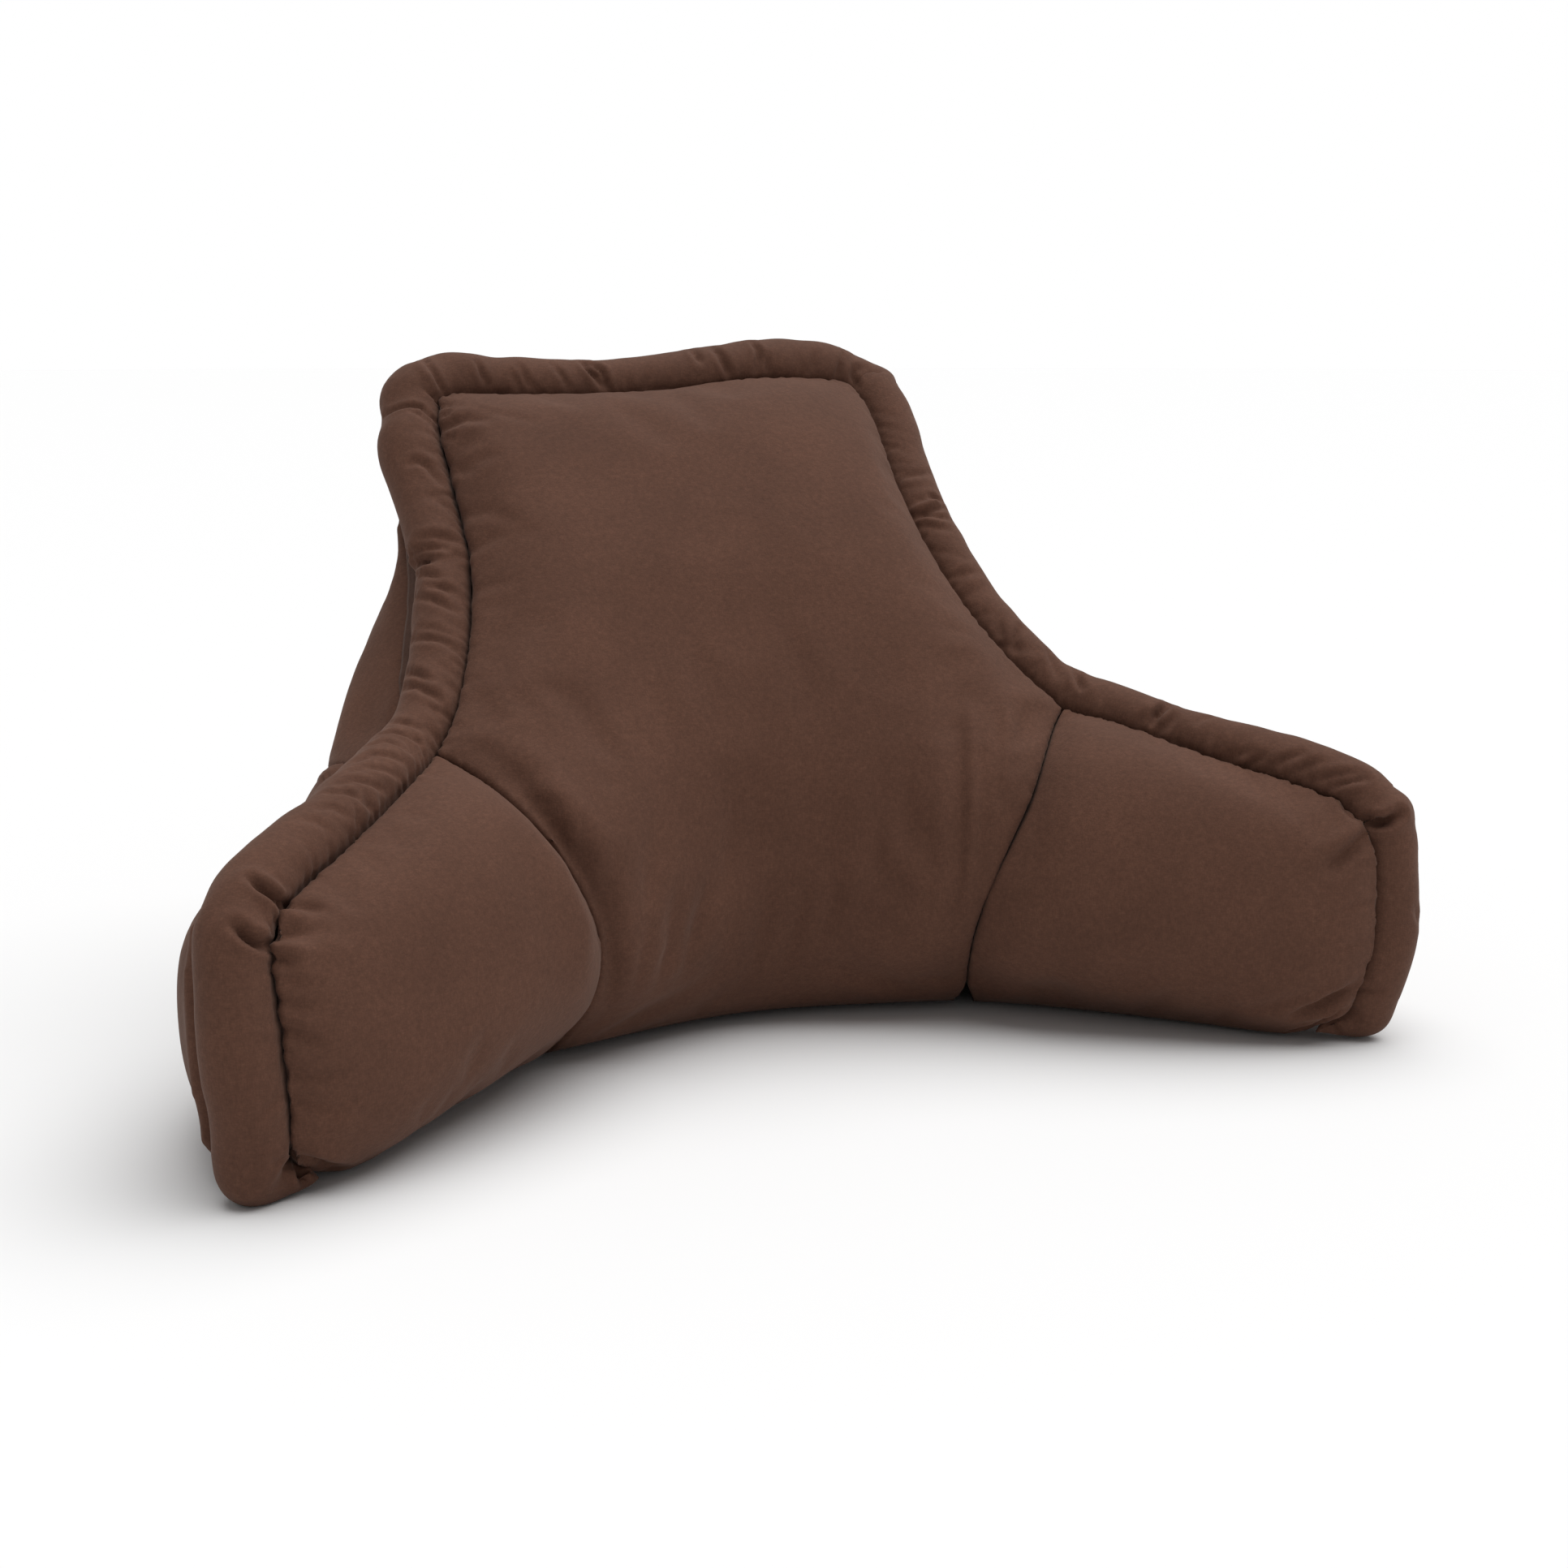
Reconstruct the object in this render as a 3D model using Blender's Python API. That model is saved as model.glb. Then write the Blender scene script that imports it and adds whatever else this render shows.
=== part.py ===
"""A reading cushion with two arms: a filled back and two filled arms, a thick padded roll
sewn round the front outline, and a narrow flat band between the roll and the rear body.

Metres, +Z up. The cushion stands on the floor at Z = 0, its front faces -Y, and the origin is
the bottom centre of its box. The tables hold the right half, and the left half is its mirror
image apart from the places in GATHERS and UNEVEN_TOP.
"""

import math
from collections import namedtuple

import bmesh
import bpy
import numpy as np

ROLL_SIDES = 12
CORNER_ROLL_LENGTH = 0.048  # the short piece of roll below each top corner
ROLL_SEAT_GAP = 0.0012
CORNER_SEAT_GAP = 0.0012  # added where the roll turns a corner
CORNER_WIDTH = 0.8  # how far along the seam that reaches, in rows
PIECE_GAP = 0.0004
JOINT_GAP = 0.001
BAND_WIDTH = 0.012
BAND_THICKNESS = 0.002
BAND_AFTER_ROLL = 0.0008
BAND_GAP = 0.0009
REAR_LIP = 0.009  # how far the rear body swells out beside the band
# The swell beside the band: distance behind the band, and share of the lip.
LipPoint = namedtuple("LipPoint", "behind share")
LIP_POINTS = (LipPoint(0.003, 0.7), LipPoint(0.010, 1.0))
SWELL_SHARES = (1 / 3, 2 / 3)  # places between the lip and the rear edge
SWELL_HEIGHT = 0.5  # share of the lip
BACK_BASE_ROUNDING = 0.058  # how far back the underside curves down from the front seam
END_BASE_ROUNDING = 0.028  # the same at an arm's front end
REAR_BASE_ROUNDING = 0.022
BASE_ANGLES = (30, 60, 90)  # degrees round each rounding of the underside

SEAT_CROWN = 0.042
ARM_CROWN = 0.026
REAR_CROWN = 0.018
CROWN_POWER = 3.0
ARM_REAR_FACES = (0.7, 0.7, 0.0)  # the way the right arm's rear panel faces

END_STEPS = 8
ARM_STEPS = 12
SIDE_STEPS = 13
TOP_STEPS = 9  # in each half
SEAT_STEPS = 5  # across the groove that the roll lies in
RIM_POINTS = SEAT_STEPS + 1 + len(LIP_POINTS) + len(SWELL_SHARES)  # front to rear edge
JOINT_CROWDING = 1.5  # above 1, the joint's points crowd towards the front
JOINT_FLOOR_STEPS = 3  # points over which the joint's foot comes down to the floor
FRAME_REACH = 0.45  # how far to each side the seam's direction is measured, in rows
SMOOTH_STEPS = 8  # between two rows of a table
SHARP_ANGLE = 50  # degrees, above which an edge is shaded as a crease

CLOTH_COLOUR = (0.118, 0.060, 0.040, 1.0)

# The seam where the front panels meet the roll, the edge of the rear panel behind it, the
# roll's diameter, and the direction from the seam to the roll's centre, in degrees from
# straight out towards straight back. From the foot of the right arm's front end, round to the
# middle of the top.
Row = namedtuple("Row", "name seam rear roll lean")
OUTLINE = (
    Row("end_foot", (0.397, -0.251, 0.023), (0.440, -0.188, 0.030), 0.048, 72),
    Row("end_low", (0.404, -0.253, 0.075), (0.447, -0.184, 0.070), 0.049, 72),
    Row("end_high", (0.408, -0.247, 0.135), (0.448, -0.176, 0.120), 0.049, 70),
    Row("arm_corner", (0.407, -0.238, 0.170), (0.440, -0.168, 0.152), 0.047, 66),
    Row("arm_front", (0.382, -0.202, 0.187), (0.422, -0.128, 0.168), 0.046, 62),
    Row("arm_middle", (0.327, -0.145, 0.208), (0.374, -0.046, 0.180), 0.045, 64),
    Row("arm_back", (0.282, -0.092, 0.227), (0.324, 0.035, 0.190), 0.046, 68),
    Row("neck", (0.251, -0.054, 0.239), (0.297, 0.090, 0.207), 0.047, 70),
    Row("side_low", (0.224, -0.023, 0.271), (0.270, 0.125, 0.247), 0.047, 74),
    Row("side_middle", (0.203, 0.020, 0.311), (0.247, 0.150, 0.297), 0.047, 74),
    Row("side_high", (0.189, 0.062, 0.357), (0.224, 0.165, 0.345), 0.047, 70),
    Row("side_upper", (0.186, 0.114, 0.408), (0.209, 0.190, 0.389), 0.048, 62),
    Row("side_top", (0.187, 0.150, 0.446), (0.201, 0.213, 0.418), 0.050, 54),
    Row("top_corner", (0.180, 0.184, 0.479), (0.184, 0.238, 0.444), 0.052, 48),
    Row("top_outer", (0.160, 0.186, 0.481), (0.156, 0.243, 0.448), 0.052, 50),
    Row("top_middle", (0.0, 0.186, 0.479), (0.0, 0.246, 0.446), 0.049, 56),
)
CORNERS = ("arm_corner", "top_corner")

# The seam between the back and an arm, from near the floor up towards the neck. The filling
# pushes its middle forwards and inwards.
ARM_SEAM = (
    (0.163, -0.066, 0.030),
    (0.150, -0.092, 0.062),
    (0.149, -0.108, 0.092),
    (0.156, -0.118, 0.121),
    (0.172, -0.119, 0.154),
    (0.190, -0.116, 0.184),
    (0.210, -0.099, 0.209),
    (0.233, -0.070, 0.227),
)
ARM_SEAM_REAR_FOOT = (0.262, 0.170, 0.030)

# Middle line of the back's front and rear panels, by share of the height.
MiddleRow = namedtuple("MiddleRow", "share y z")
SEAT_MIDDLE = (
    MiddleRow(0.0, -0.030, 0.030),
    MiddleRow(0.35, -0.008, 0.215),
    MiddleRow(0.62, 0.052, 0.330),
    MiddleRow(0.85, 0.128, 0.430),
    MiddleRow(1.0, 0.186, 0.479),
)
REAR_MIDDLE = (
    MiddleRow(0.0, 0.225, 0.030),
    MiddleRow(0.35, 0.240, 0.200),
    MiddleRow(1.0, 0.246, 0.446),
)
# Bottom edges between the arm seam and the arm's front end.
ARM_FOOT = ((0.215, -0.106, 0.030), (0.285, -0.166, 0.020), (0.352, -0.222, 0.007))
ARM_REAR_FOOT = ((0.392, -0.012, 0.030),)

# Where a gather draws the roll in: half, distance along the seam from the foot, share of the
# radius.
Gather = namedtuple("Gather", "side distance depth")
GATHERS = (
    Gather(-1, 0.120, 0.06),
    Gather(-1, 0.330, 0.07),
    Gather(-1, 0.555, 0.16),
    Gather(-1, 0.735, 0.09),
    Gather(-1, 0.815, 0.14),
    Gather(1, 0.100, 0.06),
    Gather(1, 0.310, 0.15),
    Gather(1, 0.430, 0.08),
    Gather(1, 0.605, 0.12),
    Gather(1, 0.845, 0.08),
)
GATHER_WIDTH = 0.010
# The roll's closed end on the floor: height, and share of the radius.
FootRing = namedtuple("FootRing", "height share")
FOOT_RINGS = (FootRing(0.0, 0.50), FootRing(0.003, 0.72), FootRing(0.009, 0.88))
# How high the arm's underside lifts towards its front end, in columns from the end.
END_LIFT = (0.024, 0.010, 0.002)
# The top edge sags left of the middle and lifts right of it: place along X, height.
UNEVEN_TOP = ((-0.070, -0.002), (0.110, 0.006))
UNEVEN_WIDTH = 0.055
UNEVEN_FROM = 0.42  # height where this begins
UNEVEN_FULL = 0.47


SIDE_NAMES = {-1: "left", 1: "right"}


def unit(vector):
    return vector / np.linalg.norm(vector)


def circle(centre, first, second, radius):
    """The points of a round section, turning from the first direction to the second."""
    turns = np.linspace(0, 2 * math.pi, ROLL_SIDES, endpoint=False)
    return np.array([centre + (first * math.cos(a) + second * math.sin(a)) * radius for a in turns])


def smooth_curve(points, steps):
    """Points of a Catmull-Rom curve through the given ones, its ends held straight."""
    points = np.array(points, float)
    longer = np.vstack([2 * points[0] - points[1], points, 2 * points[-1] - points[-2]])
    found = []
    for before, start, end, after in zip(longer, longer[1:], longer[2:], longer[3:]):
        for step in range(steps):
            t = step / steps
            found.append(
                0.5
                * (
                    2 * start
                    + (end - before) * t
                    + (2 * before - 5 * start + 4 * end - after) * t**2
                    + (3 * start - before - 3 * end + after) * t**3
                )
            )
    return np.array(found + [points[-1]])


def shares_of(points):
    """How far along a curve each of its points lies, from 0 to 1."""
    lengths = np.linalg.norm(np.diff(points, axis=0), axis=1)
    along = np.concatenate([[0.0], np.cumsum(lengths)])
    return along / along[-1]


def resampled(points, shares):
    own = shares_of(points)
    return np.stack([np.interp(shares, own, points[:, k]) for k in range(3)], axis=1)


class Rim:
    """The front seam of one half, the rear edge behind it, and the directions across them."""

    def __init__(self, side):
        # A short stretch past the middle keeps the top straight there.
        past = [(-OUTLINE[-2].seam[0], *OUTLINE[-2].seam[1:])]
        past_rear = [(-OUTLINE[-2].rear[0], *OUTLINE[-2].rear[1:])]
        rows = len(OUTLINE) - 1
        seam = smooth_curve([r.seam for r in OUTLINE] + past, SMOOTH_STEPS)
        rear = smooth_curve([r.rear for r in OUTLINE] + past_rear, SMOOTH_STEPS)
        seam = seam[: rows * SMOOTH_STEPS + 1]
        rear = rear[: rows * SMOOTH_STEPS + 1]
        for points in (seam, rear):
            points[:, 0] *= side
            on_top = (points[:, 2] - UNEVEN_FROM) / (UNEVEN_FULL - UNEVEN_FROM)
            on_top = np.clip(on_top, 0.0, 1.0)
            for x, lift in UNEVEN_TOP:
                near = np.exp(-(((points[:, 0] - x) / UNEVEN_WIDTH) ** 2))
                points[:, 2] += lift * near * on_top
        self.side = side
        self.seam = seam
        self.rear = rear
        self.along = np.arange(len(seam)) / SMOOTH_STEPS
        lengths = np.linalg.norm(np.diff(seam, axis=0), axis=1)
        self.length = np.concatenate([[0.0], np.cumsum(lengths)])
        self.end = self.stations("end_foot", "arm_corner", END_STEPS)
        self.arm = self.stations("arm_corner", "neck", ARM_STEPS)
        self.back = self.stations("neck", "top_corner", SIDE_STEPS)
        self.top = self.stations("top_corner", "top_middle", TOP_STEPS)

    def row(self, name):
        """A named row's place on the curve, counted in rows."""
        return float([r.name for r in OUTLINE].index(name))

    def stations(self, first, last, steps):
        """Even steps along the seam between two named rows, counted in rows."""
        ends = [self.length_at(self.row(name)) for name in (first, last)]
        return [self.row_at(length) for length in np.linspace(*ends, steps + 1)]

    def length_at(self, row):
        return float(np.interp(row, self.along, self.length))

    def row_at(self, length):
        return float(np.interp(length, self.length, self.along))

    def point(self, curve, row):
        return np.array([np.interp(row, self.along, curve[:, k]) for k in range(3)])

    def frame(self, row):
        """(seam point, outward direction, rearward direction) at a row."""
        end = self.along[-1]
        ahead = self.point(self.seam, min(row + FRAME_REACH, end))
        behind = self.point(self.seam, max(row - FRAME_REACH, 0.0))
        tangent = unit(ahead - behind)
        if row > end - FRAME_REACH:
            tangent = np.array([-float(self.side), 0.0, 0.0])
        seam = self.point(self.seam, row)
        back = self.point(self.rear, row) - seam
        back = unit(back - back.dot(tangent) * tangent)
        out = np.cross(back, tangent) * self.side
        return seam, out, back

    def of_row(self, field, row):
        return float(np.interp(row, range(len(OUTLINE)), [getattr(r, field) for r in OUTLINE]))

    def roll_across(self, row):
        """The roll's centre, outwards and rearwards of the seam, and its radius and lean."""
        radius = self.of_row("roll", row) / 2
        lean = math.radians(self.of_row("lean", row))
        reach = radius + ROLL_SEAT_GAP
        return reach * math.cos(lean), reach * math.sin(lean), radius, lean

    def roll_place(self, row):
        seam, out, back = self.frame(row)
        outwards, rearwards, radius, _ = self.roll_across(row)
        return seam + out * outwards + back * rearwards, radius

    def corner_gap(self, row):
        """The extra gap where the roll and the band turn a corner."""
        away = min(abs(row - self.row(name)) for name in CORNERS) / CORNER_WIDTH
        return CORNER_SEAT_GAP * math.exp(-away * away)

    def seat_radius(self, row):
        """The radius of the groove that the roll lies in."""
        return self.roll_across(row)[2] + ROLL_SEAT_GAP + self.corner_gap(row)

    def band_start(self, row):
        return self.roll_across(row)[1] * 2 + BAND_AFTER_ROLL

    def roll_ring(self, row, shift=0.0):
        """The roll's section at a row, moved along the roll by shift."""
        _, out, back = self.frame(row)
        centre, radius = self.roll_place(row)
        centre = centre + np.cross(out, back) * self.side * shift
        for gather in GATHERS:
            if gather.side == self.side:
                away = (self.length_at(row) - gather.distance) / GATHER_WIDTH
                radius *= 1 - gather.depth * math.exp(-away * away)
        return circle(centre, out, back, radius)

    def foot_rings(self):
        """The roll's rounded end where it stands on the floor."""
        _, out, back = self.frame(0.0)
        centre, radius = self.roll_place(0.0)
        out = unit(out * (1, 1, 0))
        back = unit(back * (1, 1, 0))
        rings = []
        for height, share in FOOT_RINGS:
            middle = np.array([centre[0], centre[1], height])
            rings.append(circle(middle, out, back, radius * share))
        return rings

    def rolled(self, rows, gap_before=True, gap_after=True):
        """The rings of a piece of roll along these rows and halfway between them."""
        rings = [self.roll_ring(rows[0], PIECE_GAP / 2 if gap_before else 0.0)]
        for before, after in zip(rows, rows[1:]):
            last = after == rows[-1] and gap_after
            following = self.roll_ring(after, -PIECE_GAP / 2 if last else 0.0)
            halfway = (self.roll_ring(before) + self.roll_ring(after)) / 2
            rings += [halfway, following]
        return rings

    def band_ring(self, row):
        seam, out, back = self.frame(row)
        half = BAND_THICKNESS / 2
        corners = ((-half, 0.0), (half, 0.0), (half, BAND_WIDTH), (-half, BAND_WIDTH))
        start = self.band_start(row)
        return np.array([seam + out * o + back * (start + b) for o, b in corners])

    def rim_points(self, row):
        """The side of the body from the front seam to the rear edge: the roll's seat, the
        step under the band, and the swell of the rear body."""
        seam, out, back = self.frame(row)
        outwards, rearwards, _, lean = self.roll_across(row)
        reach = self.seat_radius(row)
        turns = np.linspace(math.pi + lean, math.pi - lean, SEAT_STEPS + 1)
        seat = [(outwards + reach * math.cos(a), rearwards + reach * math.sin(a)) for a in turns]
        under_band = -BAND_THICKNESS / 2 - BAND_GAP
        band_end = self.band_start(row) + BAND_WIDTH + BAND_GAP
        seat[-1] = (under_band, seat[-1][1])
        lip = [(REAR_LIP * point.share, band_end + point.behind) for point in LIP_POINTS]
        across = [*seat, (under_band, band_end), *lip]
        found = [seam + out * o + back * b for o, b in across[1:]]
        rear = self.point(self.rear, row)
        last = found[-1]
        for share in SWELL_SHARES:
            swell = REAR_LIP * SWELL_HEIGHT * math.sin(math.pi * share)
            found.append(last + (rear - last) * share + out * swell)
        return found


def base_points(front, rear, rounding, lift=0.0):
    """The underside from a front seam point to a rear one: curved down at each end, over
    this rounding at the front, and nowhere lower than lift."""
    flat_front = front + unit(rear - front) * rounding
    flat_rear = rear - unit(rear - front) * REAR_BASE_ROUNDING
    flat_front[2] = 0.0
    flat_rear[2] = 0.0
    found = []
    for angle in BASE_ANGLES:
        a = math.radians(angle)
        bend = front + (flat_front - front) * (1 - math.cos(a))
        bend[2] = front[2] * (1 - math.sin(a))
        found.append(bend)
    flat_steps = RIM_POINTS + 1 - 2 * len(BASE_ANGLES)
    for step in range(1, flat_steps):
        found.append(flat_front + (flat_rear - flat_front) * step / flat_steps)
    for angle in BASE_ANGLES[::-1]:
        a = math.radians(angle)
        bend = rear + (flat_rear - rear) * (1 - math.cos(a))
        bend[2] = rear[2] * (1 - math.sin(a))
        found.append(bend)
    for point in found:
        point[2] = max(point[2], lift)
    return found


def mirrored(point, side):
    return np.array(point, float) * (side, 1, 1)


def arm_seam(side):
    """Front and rear edges of the joint between the back and an arm, floor to neck."""
    rim = Rim(side)
    neck = rim.row("neck")
    low = [mirrored(point, side) for point in ARM_SEAM]
    front = smooth_curve([*low, rim.point(rim.seam, neck)], SMOOTH_STEPS)
    rear = np.array([mirrored(ARM_SEAM_REAR_FOOT, side), rim.point(rim.rear, neck)])
    shares = np.linspace(0, 1, END_STEPS + 1)
    return resampled(front, shares), resampled(rear, shares)


def joint_points(front, rear):
    """A row of the joint's face, closer together near the front."""
    steps = [step / (RIM_POINTS + 1) for step in range(1, RIM_POINTS + 1)]
    return [front + (rear - front) * step**JOINT_CROWDING for step in steps]


def crown(u, v):
    """1 in the middle of a panel, falling steeply to 0 at its edges."""
    across = 1 - abs(2 * u - 1) ** CROWN_POWER
    up = 1 - abs(2 * v - 1) ** CROWN_POWER
    return math.sqrt(max(across * up, 0.0))


def coons(bottom, top, left, right):
    """The surface between four edges, each given by its points, as grid[row][column]."""
    columns, rows = len(bottom), len(left)
    grid = np.zeros((rows, columns, 3))
    for j in range(rows):
        v = j / (rows - 1)
        for i in range(columns):
            u = i / (columns - 1)
            ruled = (1 - v) * bottom[i] + v * top[i] + (1 - u) * left[j] + u * right[j]
            corners = (
                (1 - u) * (1 - v) * bottom[0]
                + u * (1 - v) * bottom[-1]
                + (1 - u) * v * top[0]
                + u * v * top[-1]
            )
            grid[j, i] = ruled - corners
    return grid


def raised(grid, height, towards):
    """The grid pushed out along its own normals on the side that faces towards."""
    across = np.gradient(grid, axis=1)
    up = np.gradient(grid, axis=0)
    normal = np.cross(across, up)
    normal /= np.maximum(np.linalg.norm(normal, axis=2, keepdims=True), 1e-9)
    middle = normal[grid.shape[0] // 2, grid.shape[1] // 2]
    if middle.dot(towards) < 0:
        normal = -normal
    rows, columns = grid.shape[:2]
    found = grid.copy()
    for j in range(1, rows - 1):
        for i in range(1, columns - 1):
            amount = height * crown(i / (columns - 1), j / (rows - 1))
            found[j, i] += normal[j, i] * amount
    return found


def closed_solid(name, front, rear, sides):
    """A front and a rear grid joined by rings of points. sides maps an edge's (row, column)
    to the points between the two grids there."""
    rows, columns = front.shape[:2]
    mesh = bmesh.new()
    front_vertices = [[mesh.verts.new(p) for p in line] for line in front]
    rear_vertices = [[mesh.verts.new(p) for p in line] for line in rear]
    edge = [(0, i) for i in range(columns - 1)]
    edge += [(j, columns - 1) for j in range(rows - 1)]
    edge += [(rows - 1, i) for i in range(columns - 1, 0, -1)]
    edge += [(j, 0) for j in range(rows - 1, 0, -1)]
    for grid, turned in ((front_vertices, False), (rear_vertices, True)):
        for j in range(rows - 1):
            for i in range(columns - 1):
                face = [grid[j][i], grid[j][i + 1], grid[j + 1][i + 1], grid[j + 1][i]]
                mesh.faces.new(face[::-1] if turned else face)
    strips = []
    for j, i in edge:
        between = [mesh.verts.new(p) for p in sides[(j, i)]]
        strips.append([front_vertices[j][i], *between, rear_vertices[j][i]])
    for one, other in zip(strips, strips[1:] + strips[:1]):
        for k in range(len(one) - 1):
            mesh.faces.new([one[k], one[k + 1], other[k + 1], other[k]])
    finish(name, mesh)


def finish(name, mesh):
    """Puts the closed mesh in the scene as a named object, its faces pointing out."""
    bmesh.ops.recalc_face_normals(mesh, faces=mesh.faces)
    bmesh.ops.triangulate(mesh, faces=mesh.faces)
    if mesh.calc_volume(signed=True) < 0:
        bmesh.ops.reverse_faces(mesh, faces=mesh.faces)
    data = bpy.data.meshes.new(name)
    mesh.to_mesh(data)
    mesh.free()
    thing = bpy.data.objects.new(name, data)
    bpy.context.scene.collection.objects.link(thing)
    data.materials.append(cloth(name))
    data.shade_smooth()
    data.set_sharp_from_angle(angle=math.radians(SHARP_ANGLE))


def cloth(name):
    """Matt brushed cloth, dark brown."""
    material = bpy.data.materials.new(name + "_cloth")
    material.use_nodes = True
    shader = material.node_tree.nodes["Principled BSDF"]
    shader.inputs["Base Color"].default_value = CLOTH_COLOUR
    shader.inputs["Roughness"].default_value = 0.9
    shader.inputs["Metallic"].default_value = 0.0
    return material


def middle_line(rows, shares):
    own = [row.share for row in rows]
    y = np.interp(shares, own, [row.y for row in rows])
    z = np.interp(shares, own, [row.z for row in rows])
    return np.stack([np.zeros(len(y)), y, z], axis=1)


def line_through(points, count):
    points = smooth_curve(points, SMOOTH_STEPS)
    return resampled(points, np.linspace(0, 1, count))


def to_middle_line(grid, aims):
    """The grid pulled so that its middle column lies on the aims, less so to its sides."""
    rows, columns = grid.shape[:2]
    for j in range(1, rows - 1):
        gap = aims[j] - grid[j, columns // 2]
        gap[0] = 0.0
        for i in range(1, columns - 1):
            u = 2 * i / (columns - 1) - 1
            grid[j, i] += gap * (1 - u * u)
    return grid


def back_cushion():
    """The back: its front panel between the two arm seams and the roll, and the rear body."""
    halves = {side: Rim(side) for side in (-1, 1)}
    seams = {side: arm_seam(side) for side in (-1, 1)}
    side_rows = halves[1].back
    top_rows = halves[1].top
    grids = []
    for rear in (False, True):
        edges = {}
        tops = {}
        for side, rim in halves.items():
            curve = rim.rear if rear else rim.seam
            low = list(seams[side][1 if rear else 0])
            edges[side] = np.array(low + [rim.point(curve, r) for r in side_rows[1:]])
            tops[side] = [rim.point(curve, r) for r in top_rows]
        top = np.array(tops[-1] + tops[1][::-1][1:])
        middle = REAR_MIDDLE if rear else SEAT_MIDDLE
        foot = (0.0, middle[0].y, middle[0].z)
        bottom = line_through([edges[-1][0], foot, edges[1][0]], len(top))
        grid = coons(bottom, top, edges[-1], edges[1])
        aims = middle_line(middle, np.linspace(0, 1, len(edges[1])))
        grid = to_middle_line(grid, aims)
        towards = np.array([0.0, 1.0 if rear else -1.0, 0.0])
        grids.append(raised(grid, REAR_CROWN if rear else SEAT_CROWN, towards))
    front, rear = grids
    rows, columns = front.shape[:2]
    sides = {}
    for i in range(columns):
        sides[(0, i)] = base_points(front[0, i], rear[0, i], BACK_BASE_ROUNDING)
        left = i <= columns // 2
        row = top_rows[i] if left else top_rows[columns - 1 - i]
        sides[(rows - 1, i)] = halves[-1 if left else 1].rim_points(row)
    for side, column in ((-1, 0), (1, columns - 1)):
        for j in range(END_STEPS, rows):
            sides[(j, column)] = halves[side].rim_points(side_rows[j - END_STEPS])
        add_joint(front, rear, sides, column, -joint_offset(side))
    closed_solid("back_cushion", front, rear, sides)


def joint_offset(side):
    """Half of the gap between the back and an arm, pointing at the arm."""
    front, rear = arm_seam(side)
    normal = unit(np.cross(rear[0] - front[0], front[-1] - front[0]))
    return normal * (JOINT_GAP / 2) * (1 if normal[0] * side > 0 else -1)


def add_joint(front, rear, sides, column, off):
    """The joint's face down one column of a lobe, half a gap off the seam. At the neck it
    follows the roll's groove."""
    for j in range(END_STEPS + 1):
        front[j, column] += off
        rear[j, column] += off
    for j in range(END_STEPS):
        sides[(j, column)] = joint_points(front[j, column], rear[j, column])
    sides[(END_STEPS, column)] = [p + off for p in sides[(END_STEPS, column)]]
    for k, point in enumerate(sides[(0, column)]):
        from_edge = min(k + 1, RIM_POINTS - k)
        point[2] *= 1 - min(1.0, from_edge / JOINT_FLOOR_STEPS)


def arm(side):
    """One arm: its inner panel between the arm seam, the roll and the floor, and its back."""
    rim = Rim(side)
    seams = arm_seam(side)
    top_rows = rim.arm[::-1]
    grids = []
    for rear in (False, True):
        curve = rim.rear if rear else rim.seam
        seam = seams[1 if rear else 0]
        end = np.array([rim.point(curve, r) for r in rim.end])
        top = np.array([rim.point(curve, r) for r in top_rows])
        foot = [mirrored(p, side) for p in (ARM_REAR_FOOT if rear else ARM_FOOT)]
        bottom = line_through([seam[0], *foot, end[0]], len(top))
        grid = coons(bottom, top, seam, end)
        towards = mirrored(ARM_REAR_FACES, side) * (1 if rear else -1)
        grids.append(raised(grid, REAR_CROWN if rear else ARM_CROWN, towards))
    front, rear = grids
    rows, columns = front.shape[:2]
    sides = {}
    for i in range(columns):
        from_end = columns - 1 - i
        lift = END_LIFT[from_end] if from_end < len(END_LIFT) else 0.0
        share = i / (columns - 1)
        rounding = BACK_BASE_ROUNDING * (1 - share) + END_BASE_ROUNDING * share
        sides[(0, i)] = base_points(front[0, i], rear[0, i], rounding, lift)
        sides[(rows - 1, i)] = rim.rim_points(top_rows[i])
    for j in range(rows):
        sides[(j, columns - 1)] = rim.rim_points(rim.end[j])
    add_joint(front, rear, sides, 0, joint_offset(side))
    closed_solid(f"arm_{SIDE_NAMES[side]}", front, rear, sides)


def loft(name, rings):
    """A closed solid through a row of rings."""
    mesh = bmesh.new()
    loops = [[mesh.verts.new(point) for point in ring] for ring in rings]
    count = len(loops[0])
    for one, other in zip(loops, loops[1:]):
        for k in range(count):
            after = (k + 1) % count
            mesh.faces.new([one[k], one[after], other[after], other[k]])
    mesh.faces.new(loops[0][::-1])
    mesh.faces.new(loops[-1])
    finish(name, mesh)


def rolls(side):
    """The roll's pieces in one half, other than the top one."""
    rim = Rim(side)
    name = SIDE_NAMES[side]
    corner = rim.length_at(rim.row("top_corner"))
    seams = [abs(corner - CORNER_ROLL_LENGTH - rim.length_at(row)) for row in rim.back]
    split = seams.index(min(seams))
    loft(f"roll_end_{name}", rim.foot_rings() + rim.rolled(rim.end, gap_before=False))
    loft(f"roll_side_{name}", rim.rolled(rim.arm + rim.back[1 : split + 1]))
    loft(f"roll_corner_{name}", rim.rolled(rim.back[split:]))


def roll_top():
    """The roll along the top edge, from one mitre seam to the other."""
    left, right = Rim(-1), Rim(1)
    rings = left.rolled(left.top, gap_after=False)
    # The right half's sections run the other way round.
    rings += right.rolled(right.top, gap_after=False)[::-1][1:]
    loft("roll_top", rings)


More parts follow.
